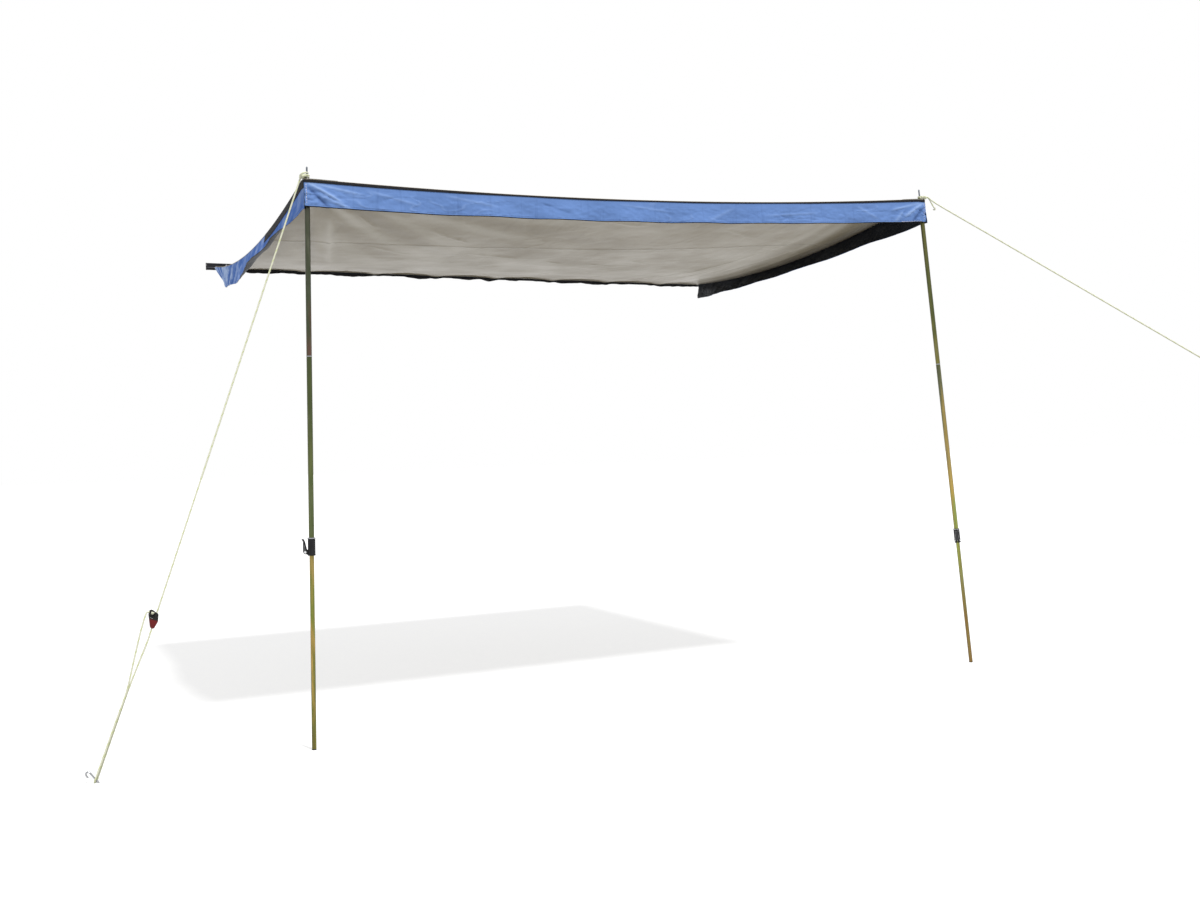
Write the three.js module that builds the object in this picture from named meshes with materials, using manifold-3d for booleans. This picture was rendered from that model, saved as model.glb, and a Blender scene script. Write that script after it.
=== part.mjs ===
// Vehicle side awning: a keder rail, a sagging fabric roof with hanging valances,
// two telescopic poles with cam-lever clamps, and two guy lines.
// Millimetres. Origin on the rail's flat back face at mid length.
// X runs along the rail, -Y points away from the wall that carries it, Z is up.

import * as THREE from 'three';
import { mergeVertices } from 'three/addons/utils/BufferGeometryUtils.js';
import Module from 'manifold-3d';

// Clearances and counts that every piece shares
const gap = 0.3;
const overrun = 2;
const turnSides = 18;
const pinSides = 12;
const ropeSides = 8;
const knotSides = 6;
const arcSegments = 6;
const hexSides = 6;
const mergeReach = 0.0005;

// Keder rail: a screwed flange with a split round channel
const railLength = 2700;
const plateThickness = 2.5;
const plateRise = 24;
const plateFall = 8;
const channelReach = 7.4;
const channelBore = 4;
const channelWall = 1.6;
const slotHeight = 2.6;
const dripLip = 1.4;

// Countersunk screws that hold the flange
const screwCount = 6;
const screwHeight = 16;
const screwEndMargin = 90;
const screwLength = 16;
const screwRadius = 2;
const screwHeadRadius = 3.8;
const screwHeadDepth = 1.9;
const driveRadius = 1.5;
const driveDepth = 1.1;

// Moulded end caps
const capThickness = 4;
const capReach = 15;
const capMargin = 1;
const capCorner = 2;
const capPlugRadius = 3.6;
const capPlugLength = 8;

// Keder strip: a bead in the channel with a flap through the slot
const kederInset = 30;
const kederLength = railLength - 2 * kederInset;
const kederBead = 3.6;
const flapThickness = 1.6;
const flapReach = 12;

// Canopy roof, with its two front corners where the poles hold them
const clothThickness = 2;
const leftCornerInset = 24;
const leftCornerX = leftCornerInset - railLength / 2;
const leftCornerY = -1882;
const leftCornerZ = 31;
const rightCornerInset = 51;
const rightCornerX = railLength / 2 - rightCornerInset;
const rightCornerY = -1937;
const rightCornerZ = 109;
const hemWidth = 40;
const patchWidth = 115;
const leftSideSag = 85;
const rightSideSag = 66;
const frontSag = 36;
const leftSideBulge = 10;
const rightSideDraw = 14;
const frontDraw = 10;
const foldHeight = 6;
const foldRange = 620;
const foldClearShare = 1.5;
const foldWaves = 6;
const roofColumns = 20;
const roofRows = 13;

// Valances that hang from the front and side edges
const frontDepth = 96;
const sideDepth = 97;
const frontPleat = 7;
const sidePleat = 5;
const sideTailGap = 12;
const frontTape = 10;
const sideTape = 28;
const sideTapeLength = 610;
const tapeThickness = 1.2;
const frontDepthShares = [0.96, 0.93, 0.87, 0.86, 0.86, 0.88, 0.93, 1];
const leftDepthShares = [1, 0.9, 1.16, 1.16, 1];
const rightDepthShares = [0.8, 0.77, 0.8, 0.92, 1];
const frontDropShares = [0, frontTape / frontDepth, 0.4, 0.7, 1];
const sideDropShares = [0, sideTape / sideDepth, 0.5, 0.77, 0.88, 1];
const curlShares = [0, 0, 0, 0.1, 0.8, 1];
const frontPleatWaves = 9;
const sidePleatWaves = 5;
const pleatPower = 1.4;

// Degrees that the side cloths lean outwards and their hems curl up, from the rail to the front corner
const leftLeans = [-30, 0, 10, 12, 8, 5];
const leftCurls = [0, 0, 10, 75, 70, 0];
const rightLeans = [-5, -32, -40, -38, -27, 8];
const rightCurls = [0, 0, 0, 0, 0, 0];

// Eyelets pressed through the corners
const eyeletInsetX = 14;
const eyeletInsetY = 14;
const eyeletBore = 3.9;
const eyeletTube = 5.2;
const eyeletFlange = 10.5;
const eyeletFlangeThickness = 1.5;
const patchThickness = 1.2;

// Poles
const groundZ = -1878;
const leftFootSpread = 28;
const leftFootAhead = 13;
const rightFootSpread = 185;
const rightFootBack = 7;
const leftUpperLength = 595;
const rightUpperLength = 701;
const leftRimDrop = 1203;
const rightRimDrop = 1413;
const tubeRadius = 9;
const tubeWall = 1;
const leftEarTurn = 153.6;
const rightEarTurn = -132;

// Spike pin and top plug
const pinRadius = 3;
const pinRise = 45;
const pinDepth = 40;
const pinTip = 2;
const shoulderDrop = 3.7;
const shoulderTop = 0.6;
const shoulderSlope = 13;
const collarDrop = 8;
const plugDrop = 34;

// Joint sleeve between the upper and the middle tube
const sleeveReach = 50;
const sleeveWall = 1;
const lipProud = 0.5;
const lipHeight = 3.4;

// Lower tube and foot
const lowerOverlap = 180;
const footThickness = 3;
const footPlugReach = 22;

// Clamp with its cam lever
const clampLength = 60;
const clampRadius = 12.5;
const clampRim = 0.8;
const clampRimHeight = 3;
const clampSeat = 38;
const slitWidth = 3;
const slitHeight = 44;
const earThickness = 6;
const earHeight = 20;
const earRoot = 10;
const earRadius = 5.5;
const pivotReach = 19;
const pivotRise = 12;
const boltRadius = 2.5;
const boltHeadRadius = 4.6;
const boltHeadHeight = 3.4;
const nutHeight = 4;
const boltTail = 1.2;
const leverSteel = 1.5;
const leverLength = 44;
const leverEye = 7;
const leverDepth = 6.6;
const leverFlare = 5;
const leverTip = 9;

// Guy lines
const ropeRadius = 2.25;
const ropeLoop = 7.3;
const knotLift = 9;
const knotWrap = 2.9;
const knotStart = 12.6;
const knotPitch = 4;
const knotWraps = 2;
const ropeStart = 19.4;

// Slider on the left line
const runnerThickness = 9;
const runnerBore = 3.2;
const runnerLength = 47;
const runnerRight = 12;
const runnerLeft = 25;
const runnerTop = 56;
const runnerFoot = 6;
const runnerCorner = 2.5;
const windowWide = 12;
const windowTall = 15;
const windowX = 12;
const entryHeight = 46;
const endKnotRadius = 4.4;

// Ground peg of the left line
const pegRadius = 3;
const pegLean = 40;
const pegShaftUp = 36;
const pegShaftDown = 150;
const pegHook = 7;
const pegHookTail = 8;
const pegPoint = 12;
const hookSteps = 4;

// Routes of the two lines, point by point from the knot at the pole pin
const leftLineTop = [-1348.8, -1871.7, 27];
const leftLineExit = [-1856.5, -1922.1, -1422.3];
const leftRouteStart = [
  [-1331.3, -1869.9, 40],
  [-1334.5, -1870.2, 40.2],
  [-1338, -1870.6, 40.3],
  [-1343.2, -1871.1, 37.6],
  [-1346.7, -1871.5, 32.4],
];
const lineSpans = 8;
const leftRouteEnd = [
  [-1868.1, -1923.2, -1455.3],
  [-1900, -1924.2, -1530.8],
  [-1933.8, -1925.5, -1612],
  [-1965, -1927.4, -1695],
  [-2008, -1930.1, -1811],
  [-2028.8, -1931.5, -1867],
  [-2030.3, -1932.3, -1870.2],
  [-2032.3, -1934.1, -1872.9],
  [-2034.2, -1936.8, -1874.8],
  [-2036, -1939.9, -1875.4],
  [-2037.3, -1943, -1874.8],
  [-2037.9, -1945.5, -1872.9],
  [-2037.7, -1947.2, -1870.2],
  [-2036.8, -1947.7, -1867],
  [-2015, -1944.2, -1811],
  [-1970.5, -1938.4, -1695],
  [-1938.2, -1934.5, -1612],
  [-1913, -1930.5, -1510],
  [-1894.5, -1926.5, -1428],
  [-1883.7, -1924.8, -1391.5],
  [-1880.4, -1924.4, -1381],
  [-1877.6, -1924.1, -1374],
  [-1873.5, -1923.8, -1370.3],
  [-1868.9, -1923.3, -1369.2],
  [-1865.1, -1922.9, -1370.5],
];
const rightRoute = [
  [1298.7, -1936.7, 118],
  [1302.5, -1940.5, 118.3],
  [1306.5, -1944.5, 118.1],
  [1311.9, -1949.9, 113.6],
  [1316.1, -1954.1, 107.2],
  [1330, -1968, 90.6],
  [1500, -2138, -79.3],
  [1700, -2338, -279.3],
  [1900, -2538, -479.3],
  [2040, -2678, -619.2],
  [2077, -2715, -656.2],
];
const spanSteps = 2;

// Colours as they show in daylight
const blackAluminium = { color: 0x1d1e20, roughness: 0.5, metalness: 0.6 };
const blackPlastic = { color: 0x161617, roughness: 0.55, metalness: 0 };
const steel = { color: 0xb9bbbd, roughness: 0.3, metalness: 1 };
const roofCloth = { color: 0x958e82, roughness: 0.9, metalness: 0 };
const blueCloth = { color: 0x4a78c4, roughness: 0.85, metalness: 0 };
const darkTape = { color: 0x17181b, roughness: 0.8, metalness: 0 };
const yellowZinc = { color: 0x8a8448, roughness: 0.3, metalness: 0.9 };
const paleRope = { color: 0xe6ecb0, roughness: 0.8, metalness: 0 };
const redPlastic = { color: 0x6e1a1c, roughness: 0.45, metalness: 0 };

const wasm = await Module();
wasm.setup();

const awning = new THREE.Group();
const lift = (height) => new THREE.Vector3(0, 0, height);
const share = (low, high, at) => low + (high - low) * at;

// Merges the vertices of a geometry and drops the triangles that collapse
function closed(geometry) {
  const bare = geometry.clone();
  bare.deleteAttribute('normal');
  bare.deleteAttribute('uv');
  const merged = mergeVertices(bare, mergeReach);
  const corners = merged.index.array;
  const kept = [];
  for (let i = 0; i < corners.length; i += 3) {
    const [a, b, c] = [corners[i], corners[i + 1], corners[i + 2]];
    if (a !== b && b !== c && c !== a) {
      kept.push(a, b, c);
    }
  }
  merged.setIndex(kept);
  return merged;
}

function toSolid(geometry) {
  const mesh = closed(geometry);
  return new wasm.Manifold(new wasm.Mesh({
    numProp: 3,
    vertProperties: Float32Array.from(mesh.attributes.position.array),
    triVerts: Uint32Array.from(mesh.index.array),
  }));
}

function toGeometry(solid) {
  const mesh = solid.getMesh();
  const geometry = new THREE.BufferGeometry();
  geometry.setAttribute('position', new THREE.BufferAttribute(mesh.vertProperties, 3));
  geometry.setIndex(new THREE.BufferAttribute(mesh.triVerts, 1));
  return geometry;
}

function join(first, ...others) {
  return toGeometry(others.reduce((sum, piece) => sum.add(toSolid(piece)), toSolid(first)));
}

function cut(first, ...others) {
  return toGeometry(others.reduce((rest, piece) => rest.subtract(toSolid(piece)), toSolid(first)));
}

// Adds one named piece to a group
function place(group, name, geometry, finish) {
  const shape = closed(geometry);
  shape.computeVertexNormals();
  const mesh = new THREE.Mesh(shape, new THREE.MeshStandardMaterial(finish));
  mesh.name = name;
  group.add(mesh);
  return mesh;
}

// Revolves a closed profile of [radius, height] pairs about Z, whichever way round it is listed
function revolve(profile, sides = turnSides) {
  const points = profile.map(([radius, height]) => new THREE.Vector2(radius, height));
  if (!THREE.ShapeUtils.isClockWise(points)) {
    points.push(points[0].clone());
  } else {
    points.reverse();
    points.push(points[0].clone());
  }
  return new THREE.LatheGeometry(points, sides).rotateX(Math.PI / 2);
}

function extrude(shape, depth) {
  const geometry = new THREE.ExtrudeGeometry(shape, { depth, bevelEnabled: false, curveSegments: arcSegments });
  return geometry.translate(0, 0, -depth / 2);
}

// A profile drawn as outward and up becomes a bar along the rail
const railBasis = new THREE.Matrix4().makeBasis(
  new THREE.Vector3(0, -1, 0),
  new THREE.Vector3(0, 0, 1),
  new THREE.Vector3(-1, 0, 0),
);

// A profile drawn as X and Z becomes a plate across Y
const plateBasis = new THREE.Matrix4().makeBasis(
  new THREE.Vector3(1, 0, 0),
  new THREE.Vector3(0, 0, 1),
  new THREE.Vector3(0, -1, 0),
);

function alongRail(shape, length) {
  return extrude(shape, length).applyMatrix4(railBasis);
}

function acrossY(shape, width) {
  return extrude(shape, width).applyMatrix4(plateBasis);
}

// An outline through given corners, each rounded by the same radius
function roundedShape(corners, radius) {
  const shape = new THREE.Shape();
  corners.forEach((corner, i) => {
    const here = new THREE.Vector2(...corner);
    const before = new THREE.Vector2(...corners[(i + corners.length - 1) % corners.length]);
    const after = new THREE.Vector2(...corners[(i + 1) % corners.length]);
    const enter = here.clone().add(before.sub(here).setLength(radius));
    const leave = here.clone().add(after.sub(here).setLength(radius));
    if (i === 0) {
      shape.moveTo(enter.x, enter.y);
    } else {
      shape.lineTo(enter.x, enter.y);
    }
    shape.quadraticCurveTo(here.x, here.y, leave.x, leave.y);
  });
  shape.closePath();
  return shape;
}

// A sweep whose steps follow the listed points instead of equal lengths
class Route extends THREE.CatmullRomCurve3 {
  getPointAt(t, target) {
    return this.getPoint(t, target);
  }

  getTangentAt(t, target) {
    return this.getTangent(t, target);
  }

  getSpacedPoints(divisions) {
    return this.getPoints(divisions);
  }
}

function tube(points, radius, sides = ropeSides, steps = spanSteps) {
  const route = new Route(points.map((point) => new THREE.Vector3(...point)), false, 'centripetal');
  const ring = [];
  for (let i = 0; i < sides; i += 1) {
    const turn = (2 * Math.PI * i) / sides;
    ring.push(new THREE.Vector2(radius * Math.cos(turn), radius * Math.sin(turn)));
  }
  return new THREE.ExtrudeGeometry(new THREE.Shape(ring), {
    steps: steps * (points.length - 1),
    extrudePath: route,
    bevelEnabled: false,
  });
}

// Whether the first cell of the outer grid already turns its back on the inner grid
function facesTowards(outer, inner) {
  const corner = outer[0][0];
  const along = outer[0][1].clone().sub(corner);
  const down = outer[1][0].clone().sub(corner);
  return along.cross(down).dot(corner.clone().sub(inner[0][0])) > 0;
}

// A closed cloth between two grids of points that face each other
function cloth(outer, inner) {
  const rows = outer.length;
  const columns = outer[0].length;
  const positions = [];
  [outer, inner].forEach((grid) => grid.flat().forEach((point) => positions.push(point.x, point.y, point.z)));
  const at = (layer, row, column) => layer * rows * columns + row * columns + column;
  const faces = [];
  const quad = (a, b, c, d) => faces.push(a, b, c, a, c, d);
  for (let row = 0; row < rows - 1; row += 1) {
    for (let column = 0; column < columns - 1; column += 1) {
      quad(at(0, row, column), at(0, row, column + 1), at(0, row + 1, column + 1), at(0, row + 1, column));
      quad(at(1, row, column), at(1, row + 1, column), at(1, row + 1, column + 1), at(1, row, column + 1));
    }
  }
  for (let row = 0; row < rows - 1; row += 1) {
    const last = columns - 1;
    quad(at(0, row, 0), at(0, row + 1, 0), at(1, row + 1, 0), at(1, row, 0));
    quad(at(0, row + 1, last), at(0, row, last), at(1, row, last), at(1, row + 1, last));
  }
  for (let column = 0; column < columns - 1; column += 1) {
    const last = rows - 1;
    quad(at(0, 0, column + 1), at(0, 0, column), at(1, 0, column), at(1, 0, column + 1));
    quad(at(0, last, column), at(0, last, column + 1), at(1, last, column + 1), at(1, last, column));
  }
  const geometry = new THREE.BufferGeometry();
  geometry.setAttribute('position', new THREE.Float32BufferAttribute(positions, 3));
  geometry.setIndex(facesTowards(outer, inner) ? faces : faces.reverse());
  return geometry;
}

// Rail: flange, web and split channel in one outline
function railShape() {
  const outer = channelBore + channelWall;
  const lipOuter = Math.asin(slotHeight / 2 / outer);
  const lipInner = Math.asin(slotHeight / 2 / channelBore);
  const webRise = Math.sqrt(outer ** 2 - (channelReach - plateThickness) ** 2);
  const webTurn = Math.PI - Math.asin(webRise / outer);
  const shape = new THREE.Shape();
  shape.moveTo(0, -plateFall);
  shape.lineTo(plateThickness, -plateFall);
  shape.lineTo(plateThickness, -webRise);
  shape.absarc(channelReach, 0, outer, -webTurn, -lipOuter, false);
  shape.absarc(channelReach, 0, channelBore, -lipInner, lipInner, true);
  shape.absarc(channelReach, 0, outer, lipOuter, webTurn, false);
  shape.lineTo(plateThickness, plateRise - dripLip);
  shape.lineTo(plateThickness + dripLip, plateRise - dripLip);
  shape.lineTo(plateThickness + dripLip, plateRise);
  shape.lineTo(0, plateRise);
  shape.closePath();
  return shape;
}

// Profiles that turn about the screw's own axis, its head up at the flange's outer face
function screwProfile(clear) {
  return [
    [0, -screwLength + plateThickness],
    [screwRadius + clear, -screwLength + plateThickness],
    [screwRadius + clear, plateThickness - screwHeadDepth],
    [screwHeadRadius + clear, plateThickness],
    [0, plateThickness],
  ];
}

function makeRail() {
  const group = new THREE.Group();
  const spacing = (railLength - 2 * screwEndMargin) / (screwCount - 1);
  const sinks = [];
  for (let i = 0; i < screwCount; i += 1) {
    const x = -railLength / 2 + screwEndMargin + i * spacing;
    const hole = revolve([
      [0, -overrun],
      [screwRadius + gap, -overrun],
      [screwRadius + gap, plateThickness - screwHeadDepth],
      [screwHeadRadius + gap, plateThickness],
      [screwHeadRadius + gap, plateThickness + dripLip],
      [0, plateThickness + dripLip],
    ], pinSides);
    sinks.push(hole.rotateX(Math.PI / 2).translate(x, 0, screwHeight));
    const drive = new THREE.CylinderGeometry(driveRadius, driveRadius, 2 * driveDepth, hexSides).rotateX(Math.PI / 2);
    const screw = cut(
      revolve(screwProfile(0), pinSides),
      drive.translate(0, 0, plateThickness),
    );
    const piece = place(group, `rail_screw_${i + 1}`, screw, steel);
    piece.rotation.x = Math.PI / 2;
    piece.position.set(x, 0, screwHeight);
  }
  place(group, 'awning_rail', cut(alongRail(railShape(), railLength), ...sinks), blackAluminium);

  const capShape = roundedShape([
    [0, -plateFall - capMargin],
    [capReach, -plateFall - capMargin],
    [capReach, plateFall + capMargin],
    [plateThickness + dripLip + capMargin, plateRise + capMargin],
    [0, plateRise + capMargin],
  ], capCorner);
  [['left', -1], ['right', 1]].forEach(([side, sign]) => {
    const cap = alongRail(capShape, capThickness);
    const plug = new THREE.CylinderGeometry(capPlugRadius, capPlugRadius, capPlugLength + capThickness, pinSides);
    plug.rotateZ(Math.PI / 2);
    plug.translate(-sign * (capPlugLength / 2), -channelReach, 0);
    const piece = place(group, `rail_cap_${side}`, join(cap, plug), blackPlastic);
    piece.position.x = sign * (railLength / 2 + gap + capThickness / 2);
  });
  return group;
}

// Keder strip: bead and flap in one outline
function makeKeder() {
  const half = flapThickness / 2;
  const root = Math.asin(half / kederBead);
  const tip = Math.asin(half / flapReach);
  const shape = new THREE.Shape();
  shape.absarc(channelReach, 0, kederBead, root, 2 * Math.PI - root, false);
  shape.absarc(channelReach, 0, flapReach, -tip, tip, false);
  shape.closePath();
  const group = new THREE.Group();
  place(group, 'keder_strip', alongRail(shape, kederLength), blackPlastic);
  return group;
}

// Roof surface: shares across (0 left, 1 right) and out (0 rail, 1 front) give its middle layer
const rearY = -(channelReach + flapReach + gap);
const leftLength = rearY - leftCornerY;
const roofWidth = rightCornerX - leftCornerX;

function held(at, length) {
  const hem = hemWidth / length;
  return Math.min(1, Math.max(0, (at - hem) / (1 - 2 * hem)));
}

function tensionFold(fromX, fromY) {
  const reach = Math.hypot(fromX, fromY);
  const turn = Math.atan2(fromX, fromY);
  const start = Math.min(1, Math.max(0, (reach - foldClearShare * patchWidth) / (2 * patchWidth)));
  return foldHeight * start * Math.exp(-reach / foldRange) * Math.sin(foldWaves * turn);
}

function roofPoint(across, out) {
  const a = held(across, roofWidth);
  const o = held(out, leftLength);
  const bow = 4 * o * (1 - o);
  const x = share(
    share(-kederLength / 2, leftCornerX, out),
    share(kederLength / 2, rightCornerX, out),
    across,
  ) - bow * share(leftSideBulge, rightSideDraw, a);
  const y = share(rearY, share(leftCornerY, rightCornerY, across), out) + frontDraw * 4 * a * (1 - a) * o ** 2;
  const sag = bow * share(leftSideSag, rightSideSag, a) + frontSag * 4 * a * (1 - a) * o ** 2;
  const z = o * share(leftCornerZ, rightCornerZ, a) - sag;
  const calm = 16 * a * (1 - a) * o * (1 - o);
  const folds = tensionFold(a * roofWidth, (1 - o) * leftLength)
    + tensionFold((1 - a) * roofWidth, (1 - o) * leftLength)
    + tensionFold((1 - a) * roofWidth, o * leftLength);
  return new THREE.Vector3(x, y, z + Math.min(1, calm) * folds);
}

function gridShares(length, cells, patchAtStart) {
  const starts = patchAtStart ? [0, hemWidth, patchWidth] : [0, hemWidth];
  const ends = [length - patchWidth, length - hemWidth, length];
  const from = starts[starts.length - 1];
  const lines = [...starts];
  for (let i = 1; i < cells; i += 1) {
    lines.push(share(from, ends[0], i / cells));
  }
  return [...lines, ...ends].map((line) => line / length);
}

const acrossShares = gridShares(roofWidth, roofColumns, true);
const outShares = gridShares(leftLength, roofRows, false);

// A piece of cloth that follows the roof between two heights over its middle layer
function roofSheet(across, out, low, high) {
  const grid = (height) => out.map((o) => across.map((a) => roofPoint(a, o).add(lift(height))));
  return cloth(grid(low), grid(high));
}

// A straight line between neighbouring points of the roof's grid, so that what hangs there follows its facets
function alongLines(lines, point, at) {
  const next = Math.max(1, lines.findIndex((line) => line >= at));
  const low = lines[next - 1];
  const high = lines[next];
  return point(low).lerp(point(high), (at - low) / (high - low));
}

function tableShare(shares, at) {
  const spot = at * (shares.length - 1);
  const index = Math.min(Math.floor(spot), shares.length - 2);
  const blend = spot - index;
  const smooth = blend * blend * (3 - 2 * blend);
  return share(shares[index], shares[index + 1], smooth);
}

// A cloth that hangs from an edge: columns of drop distances, swung out and pleated towards the hem
function hanging({ edge, columns, drops, outward, lean, curl, depth, pleat, thickness, proud }) {
  const grid = (offset) => columns.map((at) => {
    const spot = edge(at);
    spot.z -= clothThickness / 2 + gap;
    return drops.map((dropShare, row) => {
      const swing = THREE.MathUtils.degToRad(row ? lean(at) + curl(at) * curlShares[row] : 0);
      const step = row ? (dropShare - drops[row - 1]) * depth(at) : 0;
      spot.addScaledVector(outward, step * Math.sin(swing));
      spot.z -= step * Math.cos(swing);
      const point = spot.clone();
      point.addScaledVector(outward, pleat(at) * dropShare ** pleatPower + offset * Math.cos(swing));
      point.z += offset * Math.sin(swing);
      return point;
    });
  });
  return cloth(grid(proud), grid(proud - thickness));
}

function splitLines(lines, parts) {
  const fine = [lines[0]];
  for (let i = 1; i < lines.length; i += 1) {
    for (let k = 1; k <= parts; k += 1) {
      fine.push(share(lines[i - 1], lines[i], k / parts));
    }
  }
  return fine;
}

// Corner strips stop short so that the side cloth hangs behind the front cloth
function between(lines, low, high) {
  return [low, ...lines.filter((line) => line > low && line < high), high];
}

function eyeletSpot(side) {
  return side === 'left'
    ? new THREE.Vector3(leftCornerX + eyeletInsetX, leftCornerY + eyeletInsetY, leftCornerZ)
    : new THREE.Vector3(rightCornerX - eyeletInsetX, rightCornerY + eyeletInsetY, rightCornerZ);
}

const eyeletTopRise = clothThickness / 2 + gap + patchThickness + gap + eyeletFlangeThickness;
const eyeletLowFall = clothThickness / 2 + gap + eyeletFlangeThickness;

function eyeletHole(spot) {
  const height = 2 * (eyeletTopRise + eyeletLowFall);
  const hole = new THREE.CylinderGeometry(eyeletTube + gap, eyeletTube + gap, height, turnSides);
  return hole.rotateX(Math.PI / 2).translate(spot.x, spot.y, spot.z);
}

function makeCanopy() {
  const group = new THREE.Group();
  const half = clothThickness / 2;
  const spots = { left: eyeletSpot('left'), right: eyeletSpot('right') };
  const roof = roofSheet(acrossShares, outShares, -half, half);
  place(group, 'canopy_roof', cut(roof, eyeletHole(spots.left), eyeletHole(spots.right)), roofCloth);

  const patchRows = outShares.slice(-3);
  [['left', acrossShares.slice(0, 3)], ['right', acrossShares.slice(-3)]].forEach(([side, columns]) => {
    const low = half + gap;
    const patch = roofSheet(columns, patchRows, low, low + patchThickness);
    place(group, `corner_patch_${side}`, cut(patch, eyeletHole(spots[side])), darkTape);
    const ring = revolve([
      [eyeletBore, -eyeletLowFall],
      [eyeletFlange, -eyeletLowFall],
      [eyeletFlange, -half - gap],
      [eyeletTube, -half - gap],
      [eyeletTube, half + gap + patchThickness + gap],
      [eyeletFlange, half + gap + patchThickness + gap],
      [eyeletFlange, eyeletTopRise],
      [eyeletBore, eyeletTopRise],
    ]);
    place(group, `eyelet_${side}`, ring, steel).position.copy(spots[side]);
  });

  const frontLines = splitLines(acrossShares, 2);
  const front = {
    edge: (at) => alongLines(acrossShares, (a) => roofPoint(a, 1), at),
    columns: frontLines,
    outward: new THREE.Vector3(0, -1, 0),
    lean: () => 0,
    curl: () => 0,
    depth: (at) => frontDepth * tableShare(frontDepthShares, at),
    pleat: (at) => frontPleat * Math.sin(2 * Math.PI * frontPleatWaves * at) * Math.sin(Math.PI * at),
  };
  place(group, 'front_valance', hanging({
    ...front, drops: frontDropShares, thickness: clothThickness, proud: 0,
  }), blueCloth);
  place(group, 'front_edge_tape', hanging({
    ...front, drops: frontDropShares.slice(0, 2), thickness: tapeThickness, proud: tapeThickness + gap,
  }), darkTape);

  const frontShare = 1 - (clothThickness + gap) / leftLength;
  const tailShare = sideTailGap / leftLength;
  const sideLines = between(splitLines(outShares, 2), tailShare, frontShare);
  [
    ['left', 0, -1, leftLeans, leftCurls, leftDepthShares],
    ['right', 1, 1, rightLeans, rightCurls, rightDepthShares],
  ].forEach(([side, across, sign, leans, curls, shares]) => {
    const cloths = {
      edge: (at) => alongLines(outShares, (o) => roofPoint(across, o), at),
      columns: sideLines,
      outward: new THREE.Vector3(sign, 0, 0),
      lean: (at) => tableShare(leans, at),
      curl: (at) => tableShare(curls, at),
      depth: (at) => sideDepth * tableShare(shares, at),
      pleat: (at) => sidePleat * Math.sin(2 * Math.PI * sidePleatWaves * at) * Math.sin(Math.PI * at),
    };
    place(group, `${side}_valance`, hanging({
      ...cloths, drops: sideDropShares, thickness: clothThickness, proud: 0,
    }), blueCloth);
    place(group, `${side}_edge_tape`, hanging({
      ...cloths,
      columns: between(sideLines, 1 - sideTapeLength / leftLength, frontShare),
      drops: sideDropShares.slice(0, 2),
      thickness: tapeThickness,
      proud: tapeThickness + gap,
    }), darkTape);
  });
  return group;
}

// Clamp body: stepped sleeve with a slit and two ears
function clampBody(rimZ) {
  const low = rimZ - clampLength;
  const lowerBore = tubeRadius - tubeWall;
  const sleeve = revolve([
    [tubeRadius + gap, rimZ],
    [clampRadius + clampRim, rimZ],
    [clampRadius + clampRim, rimZ - clampRimHeight],
    [clampRadius, rimZ - clampRimHeight - clampRim],
    [clampRadius, low + clampRim],
    [clampRadius - clampRim, low],
    [lowerBore, low],
    [lowerBore, rimZ - clampSeat],
    [tubeRadius + gap, rimZ - clampSeat],
  ]);
  const pivotZ = low + pivotRise;
  const ear = new THREE.Shape();
  ear.moveTo(earRoot, pivotZ - earHeight / 2);
  ear.lineTo(pivotReach, pivotZ - earRadius);
  ear.absarc(pivotReach, pivotZ, earRadius, -Math.PI / 2, Math.PI / 2, false);
  ear.lineTo(earRoot, pivotZ + earHeight / 2);
  ear.closePath();
  const ears = acrossY(ear, slitWidth + 2 * earThickness);
  const slitReach = pivotReach + earRadius + overrun;
  const slit = new THREE.BoxGeometry(slitReach, slitWidth, slitHeight + overrun);
  slit.translate(slitReach / 2, 0, low + (slitHeight - overrun) / 2);
  const bore = new THREE.CylinderGeometry(
    boltRadius + gap, boltRadius + gap, slitWidth + 2 * earThickness + 2 * overrun, pinSides,
  ).translate(pivotReach, 0, pivotZ);
  return cut(join(sleeve, ears), slit, bore);
}

// Lever: folded steel with two cheeks, a back and a curled tip
function leverPiece(pivotZ) {
  const inner = slitWidth / 2 + earThickness + gap;
  const backIn = pivotReach + leverDepth;
  const backOut = backIn + leverSteel;
  const top = pivotZ + leverLength;
  const side = new THREE.Shape();
  side.moveTo(pivotReach - leverEye, pivotZ);
  side.absarc(pivotReach, pivotZ, leverEye, Math.PI, 2 * Math.PI, false);
  side.lineTo(backOut, pivotZ);
  side.lineTo(backOut, top - leverTip);
  side.lineTo(backOut + leverFlare, top);
  side.lineTo(backIn + leverFlare - leverSteel, top);
  side.lineTo(backIn - leverSteel, top - leverTip);
  side.lineTo(pivotReach - leverSteel, pivotZ + leverEye);
  side.closePath();
  const body = acrossY(side, 2 * (inner + leverSteel));
  const hollow = new THREE.Shape();
  hollow.moveTo(pivotReach - 2 * leverEye, pivotZ - 2 * leverEye);
  hollow.lineTo(backOut + leverEye, pivotZ - 2 * leverEye);
  hollow.lineTo(backOut + leverEye, pivotZ);
  hollow.lineTo(backIn, pivotZ);
  hollow.lineTo(backIn, top - leverTip);
  hollow.lineTo(backIn + leverFlare, top);
  hollow.lineTo(backIn + leverFlare, top + overrun);
  hollow.lineTo(pivotReach - 2 * leverEye, top + overrun);
  hollow.closePath();
  const bore = new THREE.CylinderGeometry(
    boltRadius + gap, boltRadius + gap, 2 * (inner + leverSteel + overrun), pinSides,
  ).translate(pivotReach, 0, pivotZ);
  return cut(body, acrossY(hollow, 2 * inner), bore);
}

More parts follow.
